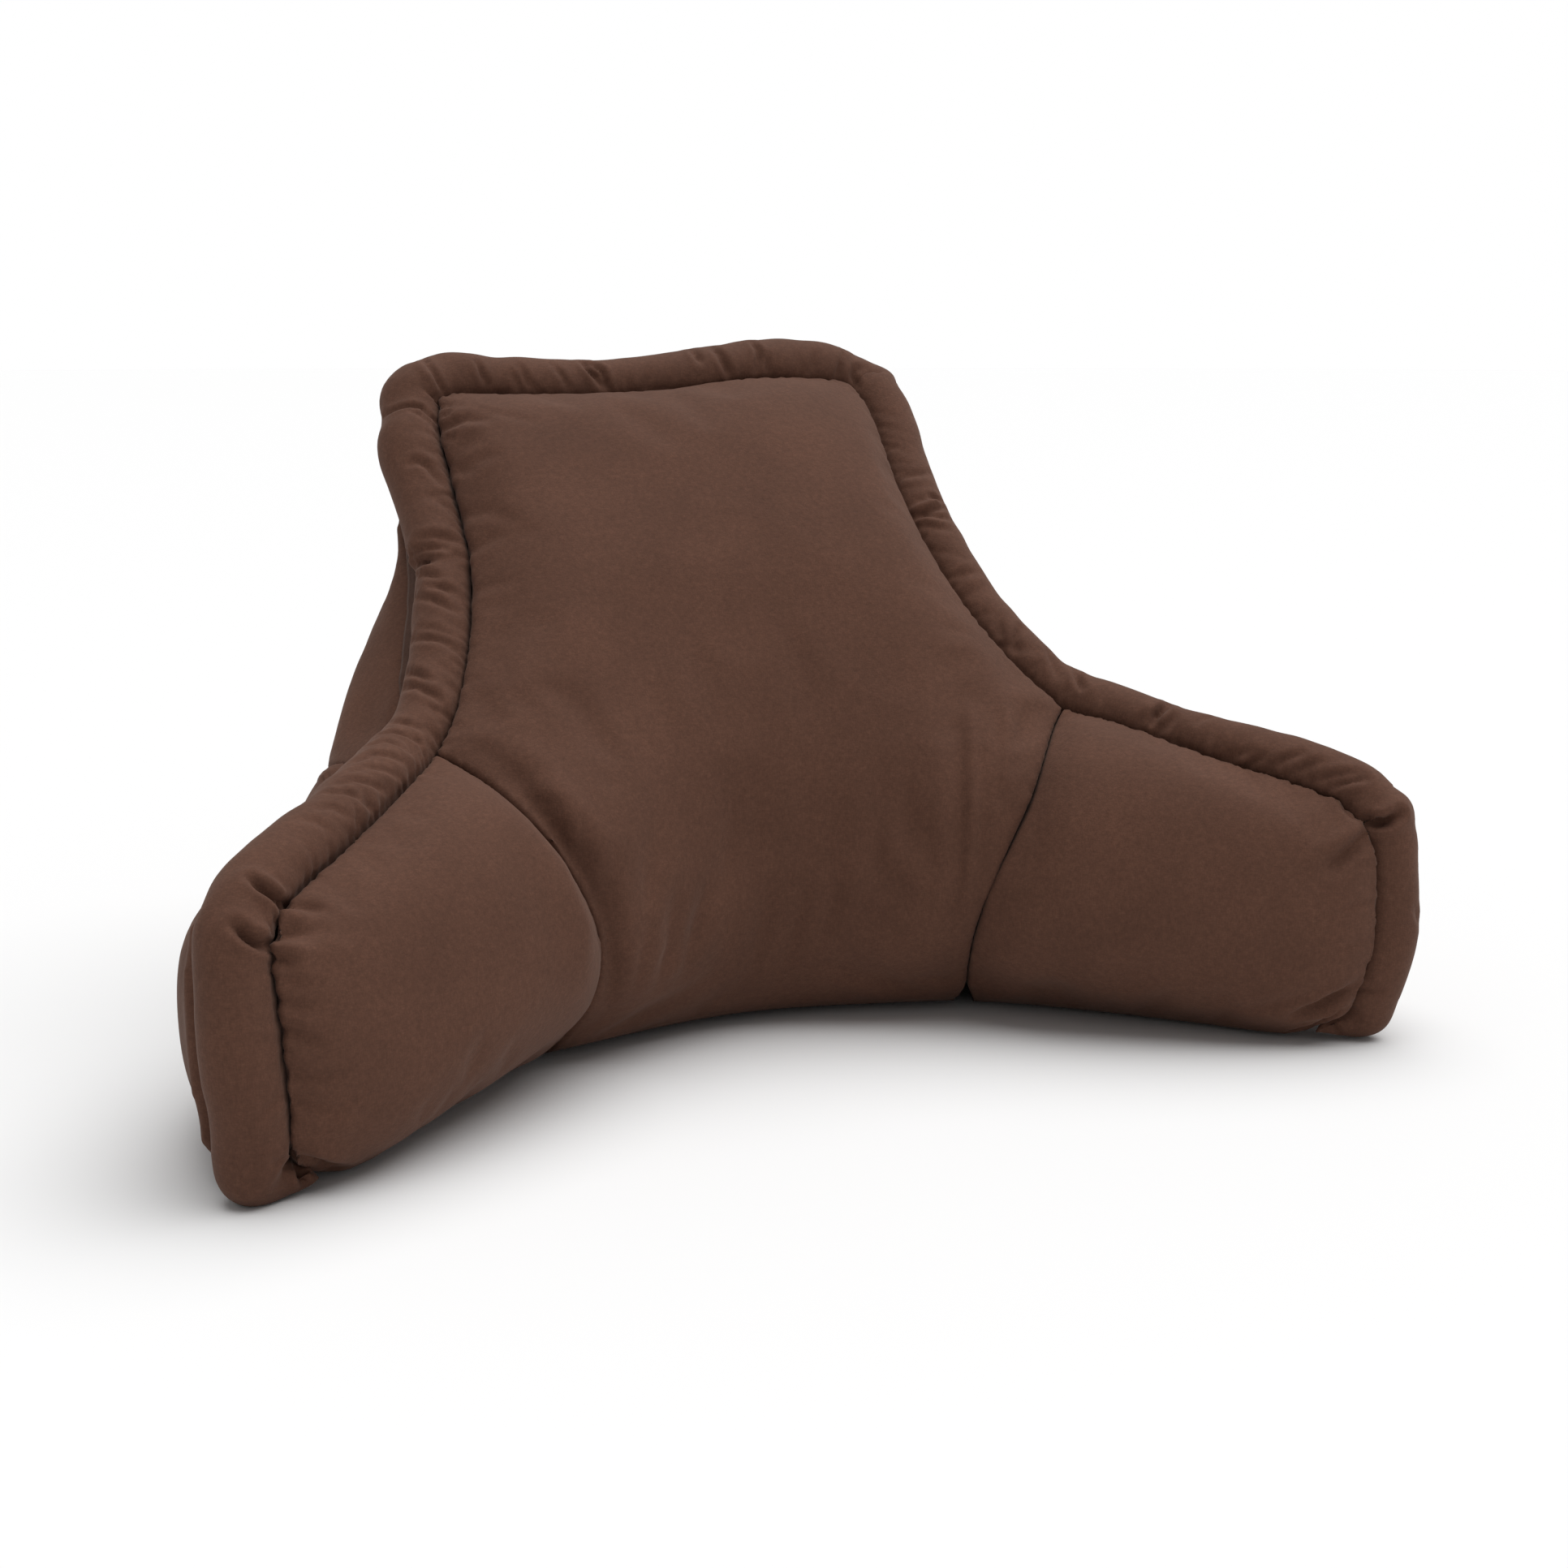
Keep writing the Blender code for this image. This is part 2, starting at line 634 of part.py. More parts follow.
def edge_band():
    """The flat band behind the roll, from the foot of one arm to the foot of the other."""
    rings = []
    for side in (-1, 1):
        rim = Rim(side)
        rows = rim.end + rim.arm[1:] + rim.back[1:] + rim.top[1:]
        half = [rim.band_ring(row) for row in rows]
        rings += half if side < 0 else half[::-1][1:]
    loft("edge_band", rings)


def clear_scene():
    for thing in list(bpy.data.objects):
        bpy.data.objects.remove(thing)


def main():
    clear_scene()
    back_cushion()
    for side in SIDE_NAMES:
        arm(side)
        rolls(side)
    roll_top()
    edge_band()


main()
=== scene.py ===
"""Looks of a reading cushion with two arms: brushed brown cloth over a filled back and two
filled arms, with a gathered roll sewn round the front outline and a flat band behind it.

Metres, +Z up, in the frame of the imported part. The front faces -Y.
"""

import functools
import math
from collections import namedtuple

import bmesh
import bpy
import numpy as np
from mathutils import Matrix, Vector
from mathutils.bvhtree import BVHTree
from mathutils.kdtree import KDTree


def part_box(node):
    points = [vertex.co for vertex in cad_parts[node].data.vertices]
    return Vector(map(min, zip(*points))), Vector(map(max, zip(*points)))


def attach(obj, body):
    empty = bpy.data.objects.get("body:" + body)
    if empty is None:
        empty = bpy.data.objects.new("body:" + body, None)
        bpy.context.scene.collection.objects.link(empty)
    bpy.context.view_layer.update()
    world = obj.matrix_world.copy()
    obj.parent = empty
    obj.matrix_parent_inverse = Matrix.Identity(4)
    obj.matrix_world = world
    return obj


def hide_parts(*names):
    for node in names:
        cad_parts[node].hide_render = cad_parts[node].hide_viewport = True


bl_info = {
    "name": "Reading Cushion",
    "version": (1, 0, 0),
    "blender": (4, 5, 0),
    "location": "View3D > Sidebar > Cushion",
    "description": "Dresses the frame of a reading cushion in brushed cloth",
    "category": "Object",
}

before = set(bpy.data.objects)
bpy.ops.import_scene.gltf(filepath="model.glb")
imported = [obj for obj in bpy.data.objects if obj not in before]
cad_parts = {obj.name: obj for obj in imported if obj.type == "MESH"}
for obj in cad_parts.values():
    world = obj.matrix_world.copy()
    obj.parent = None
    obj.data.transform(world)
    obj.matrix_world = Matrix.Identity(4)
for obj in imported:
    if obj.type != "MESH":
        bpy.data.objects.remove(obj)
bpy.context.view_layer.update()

BODY = "root"
LOBES = ("back_cushion", "arm_left", "arm_right")
PICTURE_SIDE = 1932  # pixels, for the places below that are read off the picture
SENSOR = 36.0

WELD = 1e-5
DRIFT_VALUES = 4096
DRIFT_START = 64  # keeps places a little below 0 inside the table of values

# The simulated cloth, apart from what differs between the roll and the lobes.
CLOTH = {
    "quality": 3,
    "mass": 0.15,
    "tension_stiffness": 15,
    "compression_stiffness": 15,
    "shear_stiffness": 4,
    "tension_damping": 5,
    "compression_damping": 5,
    "shear_damping": 5,
    "air_damping": 2,
    "use_pressure": True,
}
SIMULATED_FRAMES = 20
GROUP_LEVELS = 20  # a point group holds its shares in steps of one in this many
EVENING = 0.6  # the neighbours' share of a value each time that it is evened out

# How loosely a cover is sewn: the pressure inside it, its stiffness against bending, the most
# that the broad and the fine part of its motion may be, and how many times the motion is
# evened out to tell them apart.
Slack = namedtuple("Slack", "pressure stiffness swell wrinkle evenings")
LOBE_SLACK = Slack(2.5, 6.0, 0.0015, 0.0020, 40)
ROLL_SLACK = Slack(4.0, 0.6, 0.0007, 0.0032, 60)

SEAM_ANGLE = math.radians(42)  # a sharper edge of a lobe is sewn
SEAM_CREASE = 0.85
LOBE_LEVELS = 2
LOBE_EASE = 0.006
LOBE_SEED = 31
SMOOTH_REPEATS = 3
BACK_COARSER = 1.16  # the largest cover is meshed a little coarser than the arms
HELD_REACH = 0.010  # beside a seam and above the floor, where the simulated cloth is held
NEIGHBOUR_REACH = 0.05
SEAM_REACH = 0.012  # where a cover is drawn back to its solid's sharp edges
CORNER_FILL = 0.0022
SEAM_PULL = 0.0036
SEAM_OPENING = 0.0011  # what stays open of the gap between a lobe and the roll
SEAM_CLOSING = 0.008  # how far from the gap a lobe is still pulled towards it
SEAM_DEPTH = 0.0013
SEAM_WIDTH = 0.005
PUCKER_START = 0.002  # a pucker is shallower than this close to the seam
UNDER_ROUNDING = 0.030
UNDER_SLOPE = 0.014

ROLL_NODES = (
    "roll_end_left",
    "roll_side_left",
    "roll_corner_left",
    "roll_top",
    "roll_corner_right",
    "roll_side_right",
    "roll_end_right",
)
ROLL_SPACING = 0.0017  # along the roll
SEEN_COLUMNS = 42  # round the part of the roll that shows
HIDDEN_COLUMNS = 8  # round the part that lies against the lobes
LINE_SMOOTHING = 0.006
TURN_SMOOTHING = 0.013
WAY_SMOOTHING = 0.010
SEAM_SMOOTHING = 0.012
CAP_ANGLE = math.radians(60)
CONTACT_RAYS = 36
CONTACT_REACH = 0.004
ROLL_SEED = 77
SEEN_HEIGHT = 0.6  # what the picture shows as the roll's middle, in radii to the front
HIDDEN_FADE = 0.05
HIDDEN_PROUD = 0.0002
HELD_TURN = 0.07
MITRE_WIDTH = 0.004
MITRE_HOLD = 0.8
GROOVE_TURN = 0.10
TIP_ROUNDING = 0.006
LEAST_HEIGHT = 0.0004  # of the roll's underside over the floor
TOE_LENGTH = 0.038  # the roll turns in under the arm for this far
TOE_BEND = 0.014
TOE_SINK = 0.008  # its underside is flattened by the floor this much
TOE_RADIUS = 0.0025
TOE_LIFT = 0.006  # its tip is tucked up into the arm
TOE_TURNS = 7
TOE_TAPER = 0.8
TOE_MARGIN = 0.012  # past the toe, where the roll's contact with the arm isn't looked for
FOOT_HEIGHT = 0.06  # where the way from the foot to the arm is looked for
BAND_CUTS = 3
BAND_WAVE = 0.0006
BAND_REACH = 0.06
FLOOR_REACH = 30.0
FLOOR_SIDES = 96
FLOOR_COLOUR = (0.85, 0.85, 0.85, 1.0)
LIGHT_WAY = (-0.28, -0.03, -1.0)
LIGHT_SPREAD = math.radians(75)

# How far the band stands out beside the left roll, at places in the picture.
BAND_PROUD = (
    (531, 870, 0.0),
    (542, 800, 0.009),
    (541, 700, 0.011),
    (520, 610, 0.008),
    (503, 550, 0.0),
)

# How much too long the roll's cloth is cut, at places in the picture.
EASES = (
    (350, 1450, 0.024),
    (300, 1250, 0.020),
    (300, 1130, 0.060),
    (400, 1010, 0.120),
    (520, 900, 0.130),
    (535, 780, 0.130),
    (515, 690, 0.120),
    (490, 600, 0.052),
    (480, 530, 0.020),
    (500, 470, 0.008),
    (600, 460, 0.060),
    (740, 460, 0.080),
    (850, 450, 0.060),
    (1000, 445, 0.050),
    (1060, 465, 0.020),
    (1120, 560, 0.050),
    (1150, 620, 0.100),
    (1220, 740, 0.080),
    (1300, 820, 0.080),
    (1437, 880, 0.090),
    (1550, 920, 0.090),
    (1650, 955, 0.090),
    (1720, 1000, 0.020),
    (1725, 1150, 0.020),
    (1700, 1240, 0.032),
)
MOST_EASE = 0.130

# Places where the covers lie a little off their solids: the place in the picture, the shift
# across and down it, and how much further out the roll's outer side lies, in pixels there.
Shift = namedtuple("Shift", "x y across down wider")
SHIFTS = (
    Shift(335, 1440, -15, 0, 2),
    Shift(320, 1380, -6, 0, 2),
    Shift(296, 1270, -3, 0, 3),
    Shift(288, 1180, -5, 0, 0),
    Shift(310, 1105, -2, -1, 0),
    Shift(396, 1025, 0, 0, 0),
    Shift(470, 955, 0, 0, 0),
    Shift(503, 920, -3, -1, -4),
    Shift(531, 867, -4, 0, -6),
    Shift(542, 808, -4, 0, -6),
    Shift(546, 747, -4, 0, -6),
    Shift(546, 712, -3, 0, -5),
    Shift(542, 692, -3, 0, -15),
    Shift(537, 672, -3, 0, -5),
    Shift(527, 629, -3, 0, -5),
    Shift(508, 572, 0, 0, -2),
    Shift(499, 530, 2, 0, 1),
    Shift(499, 505, 6, 0, -10),
    Shift(516, 490, 5, 1, -6),
    Shift(530, 479, 1, 1, 6),
    Shift(550, 474, 0, 2, -5),
    Shift(595, 471, 0, 3, -1),
    Shift(663, 474, 0, 2, -5),
    Shift(731, 475, 0, 1, -5),
    Shift(796, 474, 0, 1, -1),
    Shift(861, 469, 0, -4, -1),
    Shift(923, 462, 0, -5, 0),
    Shift(986, 463, 0, -4, 0),
    Shift(1048, 478, 4, -7, -2),
    Shift(1075, 502, 4, -3, -1),
    Shift(1101, 551, 2, -1, -3),
    Shift(1119, 604, 0, 0, -1),
    Shift(1310, 857, 0, 0, 0),
    Shift(1375, 882, 1, -3, -1),
    Shift(1512, 925, 0, -1, 0),
    Shift(1584, 946, 1, -3, 0),
    Shift(1656, 972, 1, -3, -1),
    Shift(1708, 1009, -5, 0, 2),
    Shift(1706, 1080, 3, 0, 0),
    Shift(1705, 1170, 1, 0, 0),
    Shift(1700, 1240, -11, 0, -3),
)
SHIFT_REACH = 0.030

# Folds: the cover, half the width, the height (less than 0 for a valley), and the places in
# the picture that the fold passes through.
Fold = namedtuple("Fold", "piece width height trail")
FOLDS = (
    # The roll at the top left corner: two mitre seams and the small folds beside them.
    Fold("roll", 0.0026, -0.0043, ((519, 434), (528, 448), (537, 462), (545, 480))),
    Fold("roll", 0.0032, 0.0017, ((508, 440), (524, 462), (532, 478))),
    Fold("roll", 0.0026, -0.0043, ((464, 513), (487, 502), (501, 499), (514, 502), (532, 518))),
    Fold("roll", 0.0025, -0.0026, ((504, 506), (514, 510), (524, 518))),
    Fold("roll", 0.0020, -0.0014, ((521, 481), (531, 489), (533, 503))),
    # The roll down the left side.
    Fold("roll", 0.0035, -0.0049, ((507, 570), (517, 567), (529, 574), (537, 584), (545, 595))),
    Fold("roll", 0.0037, -0.0017, ((538, 615), (549, 620), (557, 629))),
    Fold("roll", 0.0037, -0.0043, ((518, 664), (537, 660), (551, 662), (565, 666))),
    Fold("roll", 0.0037, -0.0058, ((506, 684), (520, 677), (531, 675), (548, 674))),
    Fold("roll", 0.0032, 0.0023, ((508, 690), (524, 684), (540, 681), (556, 685))),
    Fold("roll", 0.0040, -0.0085, ((500, 700), (510, 695), (522, 690), (534, 688))),
    Fold("roll", 0.0032, -0.0035, ((511, 707), (528, 707), (546, 711))),
    Fold("roll", 0.0032, -0.0035, ((533, 721), (548, 723), (564, 730))),
    Fold("roll", 0.0032, -0.0035, ((515, 735), (535, 737), (552, 745), (568, 754))),
    Fold("roll", 0.0032, -0.0020, ((520, 773), (540, 775), (560, 783))),
    Fold("roll", 0.0032, -0.0035, ((506, 788), (523, 786), (543, 787), (560, 794))),
    Fold("roll", 0.0032, -0.0043, ((502, 828), (518, 830), (534, 838))),
    Fold("roll", 0.0035, -0.0046, ((500, 847), (517, 844), (528, 850), (543, 858))),
    Fold("roll", 0.0030, -0.0020, ((542, 858), (549, 867), (551, 876))),
    # The left arm's roll, and the tucks at its front corner.
    Fold("roll", 0.0028, -0.0023, ((482, 889), (502, 891), (522, 898))),
    Fold("roll", 0.0028, -0.0032, ((470, 905), (487, 902), (505, 906), (517, 915))),
    Fold("roll", 0.0028, -0.0026, ((456, 918), (477, 913), (494, 918), (508, 928))),
    Fold("roll", 0.0028, -0.0029, ((440, 938), (460, 928), (480, 930), (497, 938))),
    Fold("roll", 0.0028, -0.0023, ((434, 950), (455, 944), (474, 948), (490, 956))),
    Fold("roll", 0.0028, -0.0026, ((416, 966), (438, 960), (456, 965), (474, 974))),
    Fold("roll", 0.0028, -0.0029, ((402, 976), (427, 976), (440, 980), (453, 994))),
    Fold("roll", 0.0030, -0.0020, ((392, 996), (410, 994), (426, 1004))),
    Fold("roll", 0.0035, -0.0017, ((372, 1010), (392, 1012), (408, 1026))),
    Fold(
        "roll",
        0.0035,
        -0.0101,
        ((312, 1082), (326, 1094), (336, 1102), (346, 1112), (356, 1120)),
    ),
    Fold("roll", 0.0035, -0.0109, ((294, 1140), (308, 1153), (325, 1163), (340, 1166))),
    Fold("roll", 0.0040, 0.0014, ((326, 1106), (336, 1114), (334, 1134), (326, 1150))),
    Fold("roll", 0.0030, -0.0017, ((322, 1380), (336, 1368), (350, 1352))),
    Fold(
        "roll",
        0.0032,
        -0.0087,
        ((370, 1412), (378, 1430), (388, 1450), (396, 1466), (400, 1480)),
    ),
    Fold("roll", 0.0032, -0.0020, ((350, 1434), (364, 1430), (376, 1423))),
    # The roll along the top.
    Fold("roll", 0.0028, -0.0038, ((588, 442), (593, 454), (599, 470))),
    Fold("roll", 0.0030, -0.0026, ((640, 448), (646, 460), (651, 474))),
    Fold("roll", 0.0030, -0.0023, ((632, 458), (638, 468), (640, 478))),
    Fold("roll", 0.0028, -0.0020, ((680, 447), (692, 460), (700, 476))),
    Fold("roll", 0.0032, -0.0072, ((719, 446), (728, 455), (736, 463), (741, 473))),
    Fold("roll", 0.0022, 0.0026, ((724, 449), (735, 457), (741, 465))),
    Fold("roll", 0.0028, -0.0052, ((730, 448), (742, 456), (746, 468), (748, 478))),
    Fold("roll", 0.0032, -0.0041, ((850, 432), (856, 438), (862, 448))),
    Fold("roll", 0.0032, -0.0041, ((876, 430), (888, 443), (896, 462))),
    Fold("roll", 0.0028, -0.0049, ((924, 423), (934, 436), (935, 448), (931, 462))),
    Fold("roll", 0.0030, -0.0026, ((945, 443), (944, 462))),
    Fold("roll", 0.0037, -0.0023, ((1003, 440), (1000, 456), (994, 466))),
    Fold("roll", 0.0026, -0.0049, ((1046, 420), (1040, 434), (1034, 454), (1026, 476))),
    Fold("roll", 0.0028, -0.0035, ((1062, 459), (1050, 463), (1047, 470), (1053, 481))),
    # The roll down the right side and along the right arm.
    Fold("roll", 0.0037, -0.0029, ((1116, 587), (1130, 584), (1144, 582))),
    Fold("roll", 0.0030, -0.0058, ((1148, 612), (1157, 615))),
    Fold("roll", 0.0028, 0.0020, ((1132, 624), (1146, 620), (1158, 614))),
    Fold("roll", 0.0030, -0.0043, ((1136, 630), (1149, 628), (1162, 624))),
    Fold("roll", 0.0030, -0.0038, ((1120, 637), (1142, 634), (1166, 638))),
    Fold("roll", 0.0032, -0.0023, ((1126, 648), (1144, 647), (1168, 652))),
    Fold("roll", 0.0040, -0.0023, ((1180, 712), (1192, 706), (1205, 703))),
    Fold("roll", 0.0032, -0.0049, ((1257, 773), (1252, 785), (1249, 802))),
    Fold("roll", 0.0040, -0.0020, ((1232, 762), (1232, 776), (1236, 790))),
    Fold("roll", 0.0035, -0.0026, ((1292, 803), (1298, 818), (1302, 832))),
    Fold("roll", 0.0030, -0.0049, ((1322, 818), (1326, 830), (1332, 848))),
    Fold("roll", 0.0032, -0.0075, ((1443, 868), (1434, 874), (1426, 882), (1420, 892))),
    Fold("roll", 0.0032, -0.0043, ((1446, 884), (1436, 895), (1424, 906))),
    Fold("roll", 0.0032, -0.0023, ((1410, 880), (1404, 890), (1400, 898))),
    Fold("roll", 0.0030, -0.0020, ((1498, 884), (1484, 886), (1474, 892))),
    Fold("roll", 0.0035, -0.0029, ((1515, 936), (1528, 930), (1542, 927))),
    Fold("roll", 0.0032, -0.0035, ((1531, 948), (1543, 941), (1556, 934))),
    Fold("roll", 0.0032, -0.0038, ((1561, 951), (1572, 943), (1584, 937), (1602, 931))),
    Fold("roll", 0.0032, -0.0035, ((1591, 958), (1607, 948), (1624, 940))),
    Fold("roll", 0.0032, -0.0043, ((1615, 966), (1635, 960), (1660, 955), (1680, 954))),
    Fold("roll", 0.0030, -0.0052, ((1638, 973), (1652, 969), (1668, 964), (1686, 961))),
    Fold("roll", 0.0028, 0.0020, ((1640, 980), (1656, 974), (1674, 969))),
    Fold(
        "roll",
        0.0037,
        -0.0130,
        ((1686, 1010), (1696, 1013), (1704, 1014), (1714, 1012), (1730, 1002)),
    ),
    Fold("roll", 0.0037, -0.0020, ((1742, 1120), (1748, 1140))),
    Fold("roll", 0.0035, -0.0029, ((1678, 1219), (1692, 1221), (1706, 1224))),
    Fold("roll", 0.0022, -0.0035, ((1650, 1254), (1654, 1262), (1661, 1272))),
    # The middle panel beside the right arm's seam.
    Fold("back", 0.0050, 0.0024, ((1194, 872), (1199, 940), (1199, 1030), (1190, 1150))),
    Fold("back", 0.0070, -0.0034, ((1182, 900), (1184, 980), (1184, 1060), (1174, 1150))),
    Fold("back", 0.0050, -0.0028, ((1208, 930), (1211, 1010), (1206, 1100))),
    Fold("back", 0.0050, 0.0018, ((1236, 860), (1243, 900), (1237, 950), (1232, 1000))),
    Fold("back", 0.0050, -0.0016, ((1228, 880), (1232, 925), (1226, 985))),
    Fold("back", 0.0060, -0.0014, ((1262, 870), (1262, 930))),
    # Soft upright folds low in the middle panel.
    Fold("back", 0.0100, -0.0031, ((1119, 940), (1119, 1000), (1112, 1070))),
    Fold("back", 0.0100, -0.0027, ((1088, 950), (1084, 1020), (1076, 1090))),
    Fold("back", 0.0080, -0.0027, ((1034, 1080), (1022, 1120), (1008, 1160))),
    Fold("back", 0.0080, -0.0031, ((992, 1100), (980, 1145), (965, 1190))),
    Fold("back", 0.0090, -0.0032, ((950, 1090), (942, 1140), (930, 1195))),
    Fold("back", 0.0120, -0.0034, ((938, 960), (934, 1020), (926, 1070))),
    Fold("back", 0.0120, -0.0041, ((905, 965), (904, 1030), (894, 1090))),
    Fold("back", 0.0090, -0.0034, ((870, 1100), (858, 1150), (842, 1200))),
    Fold("back", 0.0080, -0.0031, ((832, 1120), (826, 1165), (812, 1215))),
    Fold("back", 0.0080, -0.0027, ((796, 1150), (788, 1200), (778, 1235))),
    # The middle panel beside the left arm's seam: a ridge, and the valley behind the arm.
    Fold("back", 0.0100, 0.0030, ((618, 925), (650, 950), (690, 992), (722, 1045))),
    Fold("back", 0.0110, -0.0090, ((640, 962), (676, 1005), (712, 1062), (738, 1112))),
    Fold("back", 0.0090, -0.0060, ((738, 1112), (750, 1150), (757, 1200), (752, 1245))),
    # Small folds from the top left corner and the left seam.
    Fold("back", 0.0020, -0.0022, ((534, 502), (543, 501), (552, 500))),
    Fold("back", 0.0022, -0.0024, ((532, 513), (541, 512), (552, 510))),
    Fold("back", 0.0050, -0.0034, ((533, 525), (546, 528), (560, 520), (574, 514), (600, 516))),
    Fold("back", 0.0024, -0.0028, ((533, 541), (543, 540), (556, 538))),
    Fold("back", 0.0040, 0.0012, ((548, 532), (566, 530), (590, 526))),
    Fold("back", 0.0050, -0.0020, ((540, 571), (561, 574), (583, 569), (610, 560))),
    Fold("back", 0.0040, -0.0022, ((547, 586), (566, 581), (586, 580))),
    Fold("back", 0.0050, -0.0018, ((557, 632), (584, 634), (604, 630), (632, 640))),
    Fold("back", 0.0050, -0.0018, ((568, 680), (590, 672), (620, 658))),
    Fold("back", 0.0050, -0.0012, ((574, 730), (600, 724), (632, 716))),
    Fold("back", 0.0040, -0.0012, ((560, 498), (600, 506), (660, 520))),
    # The rear body's swell beside the left roll.
    Fold(
        "back",
        0.0300,
        0.0080,
        ((480, 690), (470, 740), (458, 800), (441, 855), (428, 900), (417, 932)),
    ),
    Fold("arm_left", 0.0260, 0.0070, ((414, 948), (405, 961), (397, 971))),
    # The left arm beside its end seam.
    Fold("arm_left", 0.0045, -0.0042, ((346, 1114), (372, 1116), (404, 1122))),
    Fold("arm_left", 0.0070, -0.0064, ((330, 1158), (348, 1150), (366, 1146), (390, 1146))),
    Fold("arm_left", 0.0045, -0.0056, ((332, 1180), (348, 1182), (364, 1188))),
    Fold("arm_left", 0.0040, 0.0022, ((330, 1168), (350, 1168), (380, 1170))),
    Fold("arm_left", 0.0045, -0.0031, ((338, 1204), (358, 1210), (388, 1216))),
    Fold("arm_left", 0.0045, -0.0028, ((340, 1228), (362, 1238), (392, 1242))),
    Fold("arm_left", 0.0045, -0.0031, ((344, 1268), (366, 1274), (398, 1290))),
    Fold("arm_left", 0.0050, -0.0031, ((350, 1318), (378, 1330), (408, 1330))),
    Fold("arm_left", 0.0045, -0.0031, ((358, 1352), (386, 1360), (420, 1372))),
    Fold("arm_left", 0.0060, -0.0073, ((378, 1426), (388, 1433), (413, 1440), (436, 1448))),
    Fold("arm_left", 0.0040, -0.0042, ((392, 1454), (406, 1456), (426, 1456))),
    Fold("arm_left", 0.0050, 0.0028, ((388, 1416), (420, 1424), (456, 1430))),
    Fold("arm_left", 0.0180, 0.0040, ((640, 1010), (690, 1070), (720, 1140), (720, 1200))),
    # The right arm: the corner tuck, the end seam, and the foot.
    Fold("arm_right", 0.0060, -0.0075, ((1694, 1019), (1683, 1031), (1670, 1046), (1642, 1066))),
    Fold("arm_right", 0.0090, -0.0024, ((1660, 1054), (1636, 1074), (1612, 1090))),
    Fold("arm_right", 0.0045, -0.0037, ((1688, 1014), (1668, 1004), (1654, 990))),
    Fold("arm_right", 0.0050, 0.0022, ((1682, 1018), (1664, 1028), (1640, 1046))),
    Fold("arm_right", 0.0030, -0.0018, ((1692, 1062), (1674, 1068), (1656, 1078))),
    Fold("arm_right", 0.0030, -0.0018, ((1692, 1112), (1670, 1116), (1650, 1126))),
    Fold("arm_right", 0.0030, -0.0018, ((1688, 1160), (1668, 1164), (1648, 1172))),
    Fold("arm_right", 0.0050, -0.0080, ((1676, 1216), (1652, 1229), (1627, 1242), (1600, 1250))),
    Fold("arm_right", 0.0040, 0.0030, ((1664, 1232), (1646, 1244), (1622, 1252))),
    Fold("arm_right", 0.0036, -0.0050, ((1656, 1246), (1642, 1258), (1625, 1266), (1600, 1271))),
    Fold("arm_right", 0.0060, -0.0025, ((1640, 1220), (1600, 1232), (1540, 1244))),
    Fold("arm_right", 0.0160, -0.0030, ((1278, 985), (1273, 1040), (1268, 1095))),
    Fold("arm_right", 0.0080, 0.0016, ((1236, 1072), (1222, 1110), (1208, 1160))),
)
COVERS = (("back", "back_cushion"), ("arm_left", "arm_left"), ("arm_right", "arm_right"))


# Settings that a user may change.


class ClothSettings(bpy.types.PropertyGroup):
    """The brushed cloth that covers every piece."""

    colour: bpy.props.FloatVectorProperty(
        name="Colour",
        description="Cloth colour of the lobes and the roll",
        subtype="COLOR",
        size=3,
        min=0.0,
        max=1.0,
        default=(0.104, 0.048, 0.031),
    )
    # The band's colour is its own cloth, a little darker than the lobes', darkened further with
    # painted shade of the gap between the roll and the rear body.
    band_colour_with_painted_shade: bpy.props.FloatVectorProperty(
        name="Band colour",
        description="Cloth colour of the flat band behind the roll",
        subtype="COLOR",
        size=3,
        min=0.0,
        max=1.0,
        default=(0.062, 0.029, 0.019),
    )
    roughness: bpy.props.FloatProperty(
        name="Roughness",
        description="Mean roughness of the cloth",
        subtype="FACTOR",
        min=0.0,
        max=1.0,
        default=0.86,
    )
    sheen: bpy.props.FloatProperty(
        name="Sheen",
        description="Soft light that the brushed nap catches at its edges",
        subtype="FACTOR",
        min=0.0,
        max=1.0,
        default=0.09,
    )
    nap_size: bpy.props.FloatProperty(
        name="Nap size",
        description="Size of the grain of the brushed nap",
        subtype="DISTANCE",
        unit="LENGTH",
        min=0.0002,
        max=0.01,
        default=0.0011,
    )


class ShapeSettings(bpy.types.PropertyGroup):
    """How full, gathered and puckered the covers are."""

    spacing: bpy.props.FloatProperty(
        name="Spacing",
        description="Distance between the points of a lobe's cover",
        subtype="DISTANCE",
        unit="LENGTH",
        min=0.002,
        max=0.02,
        default=0.0030,
    )
    pucker_depth: bpy.props.FloatProperty(
        name="Pucker depth",
        description="Depth of the small puckers that the stitching draws in the panels",
        subtype="DISTANCE",
        unit="LENGTH",
        min=0.0,
        max=0.01,
        default=0.0013,
    )
    gather_depth: bpy.props.FloatProperty(
        name="Gather depth",
        description="Depth of the small gathers along the roll",
        subtype="DISTANCE",
        unit="LENGTH",
        min=0.0,
        max=0.01,
        default=0.0020,
    )
    lump_height: bpy.props.FloatProperty(
        name="Lump height",
        description="How unevenly the roll is filled",
        subtype="DISTANCE",
        unit="LENGTH",
        min=0.0,
        max=0.01,
        default=0.0010,
    )


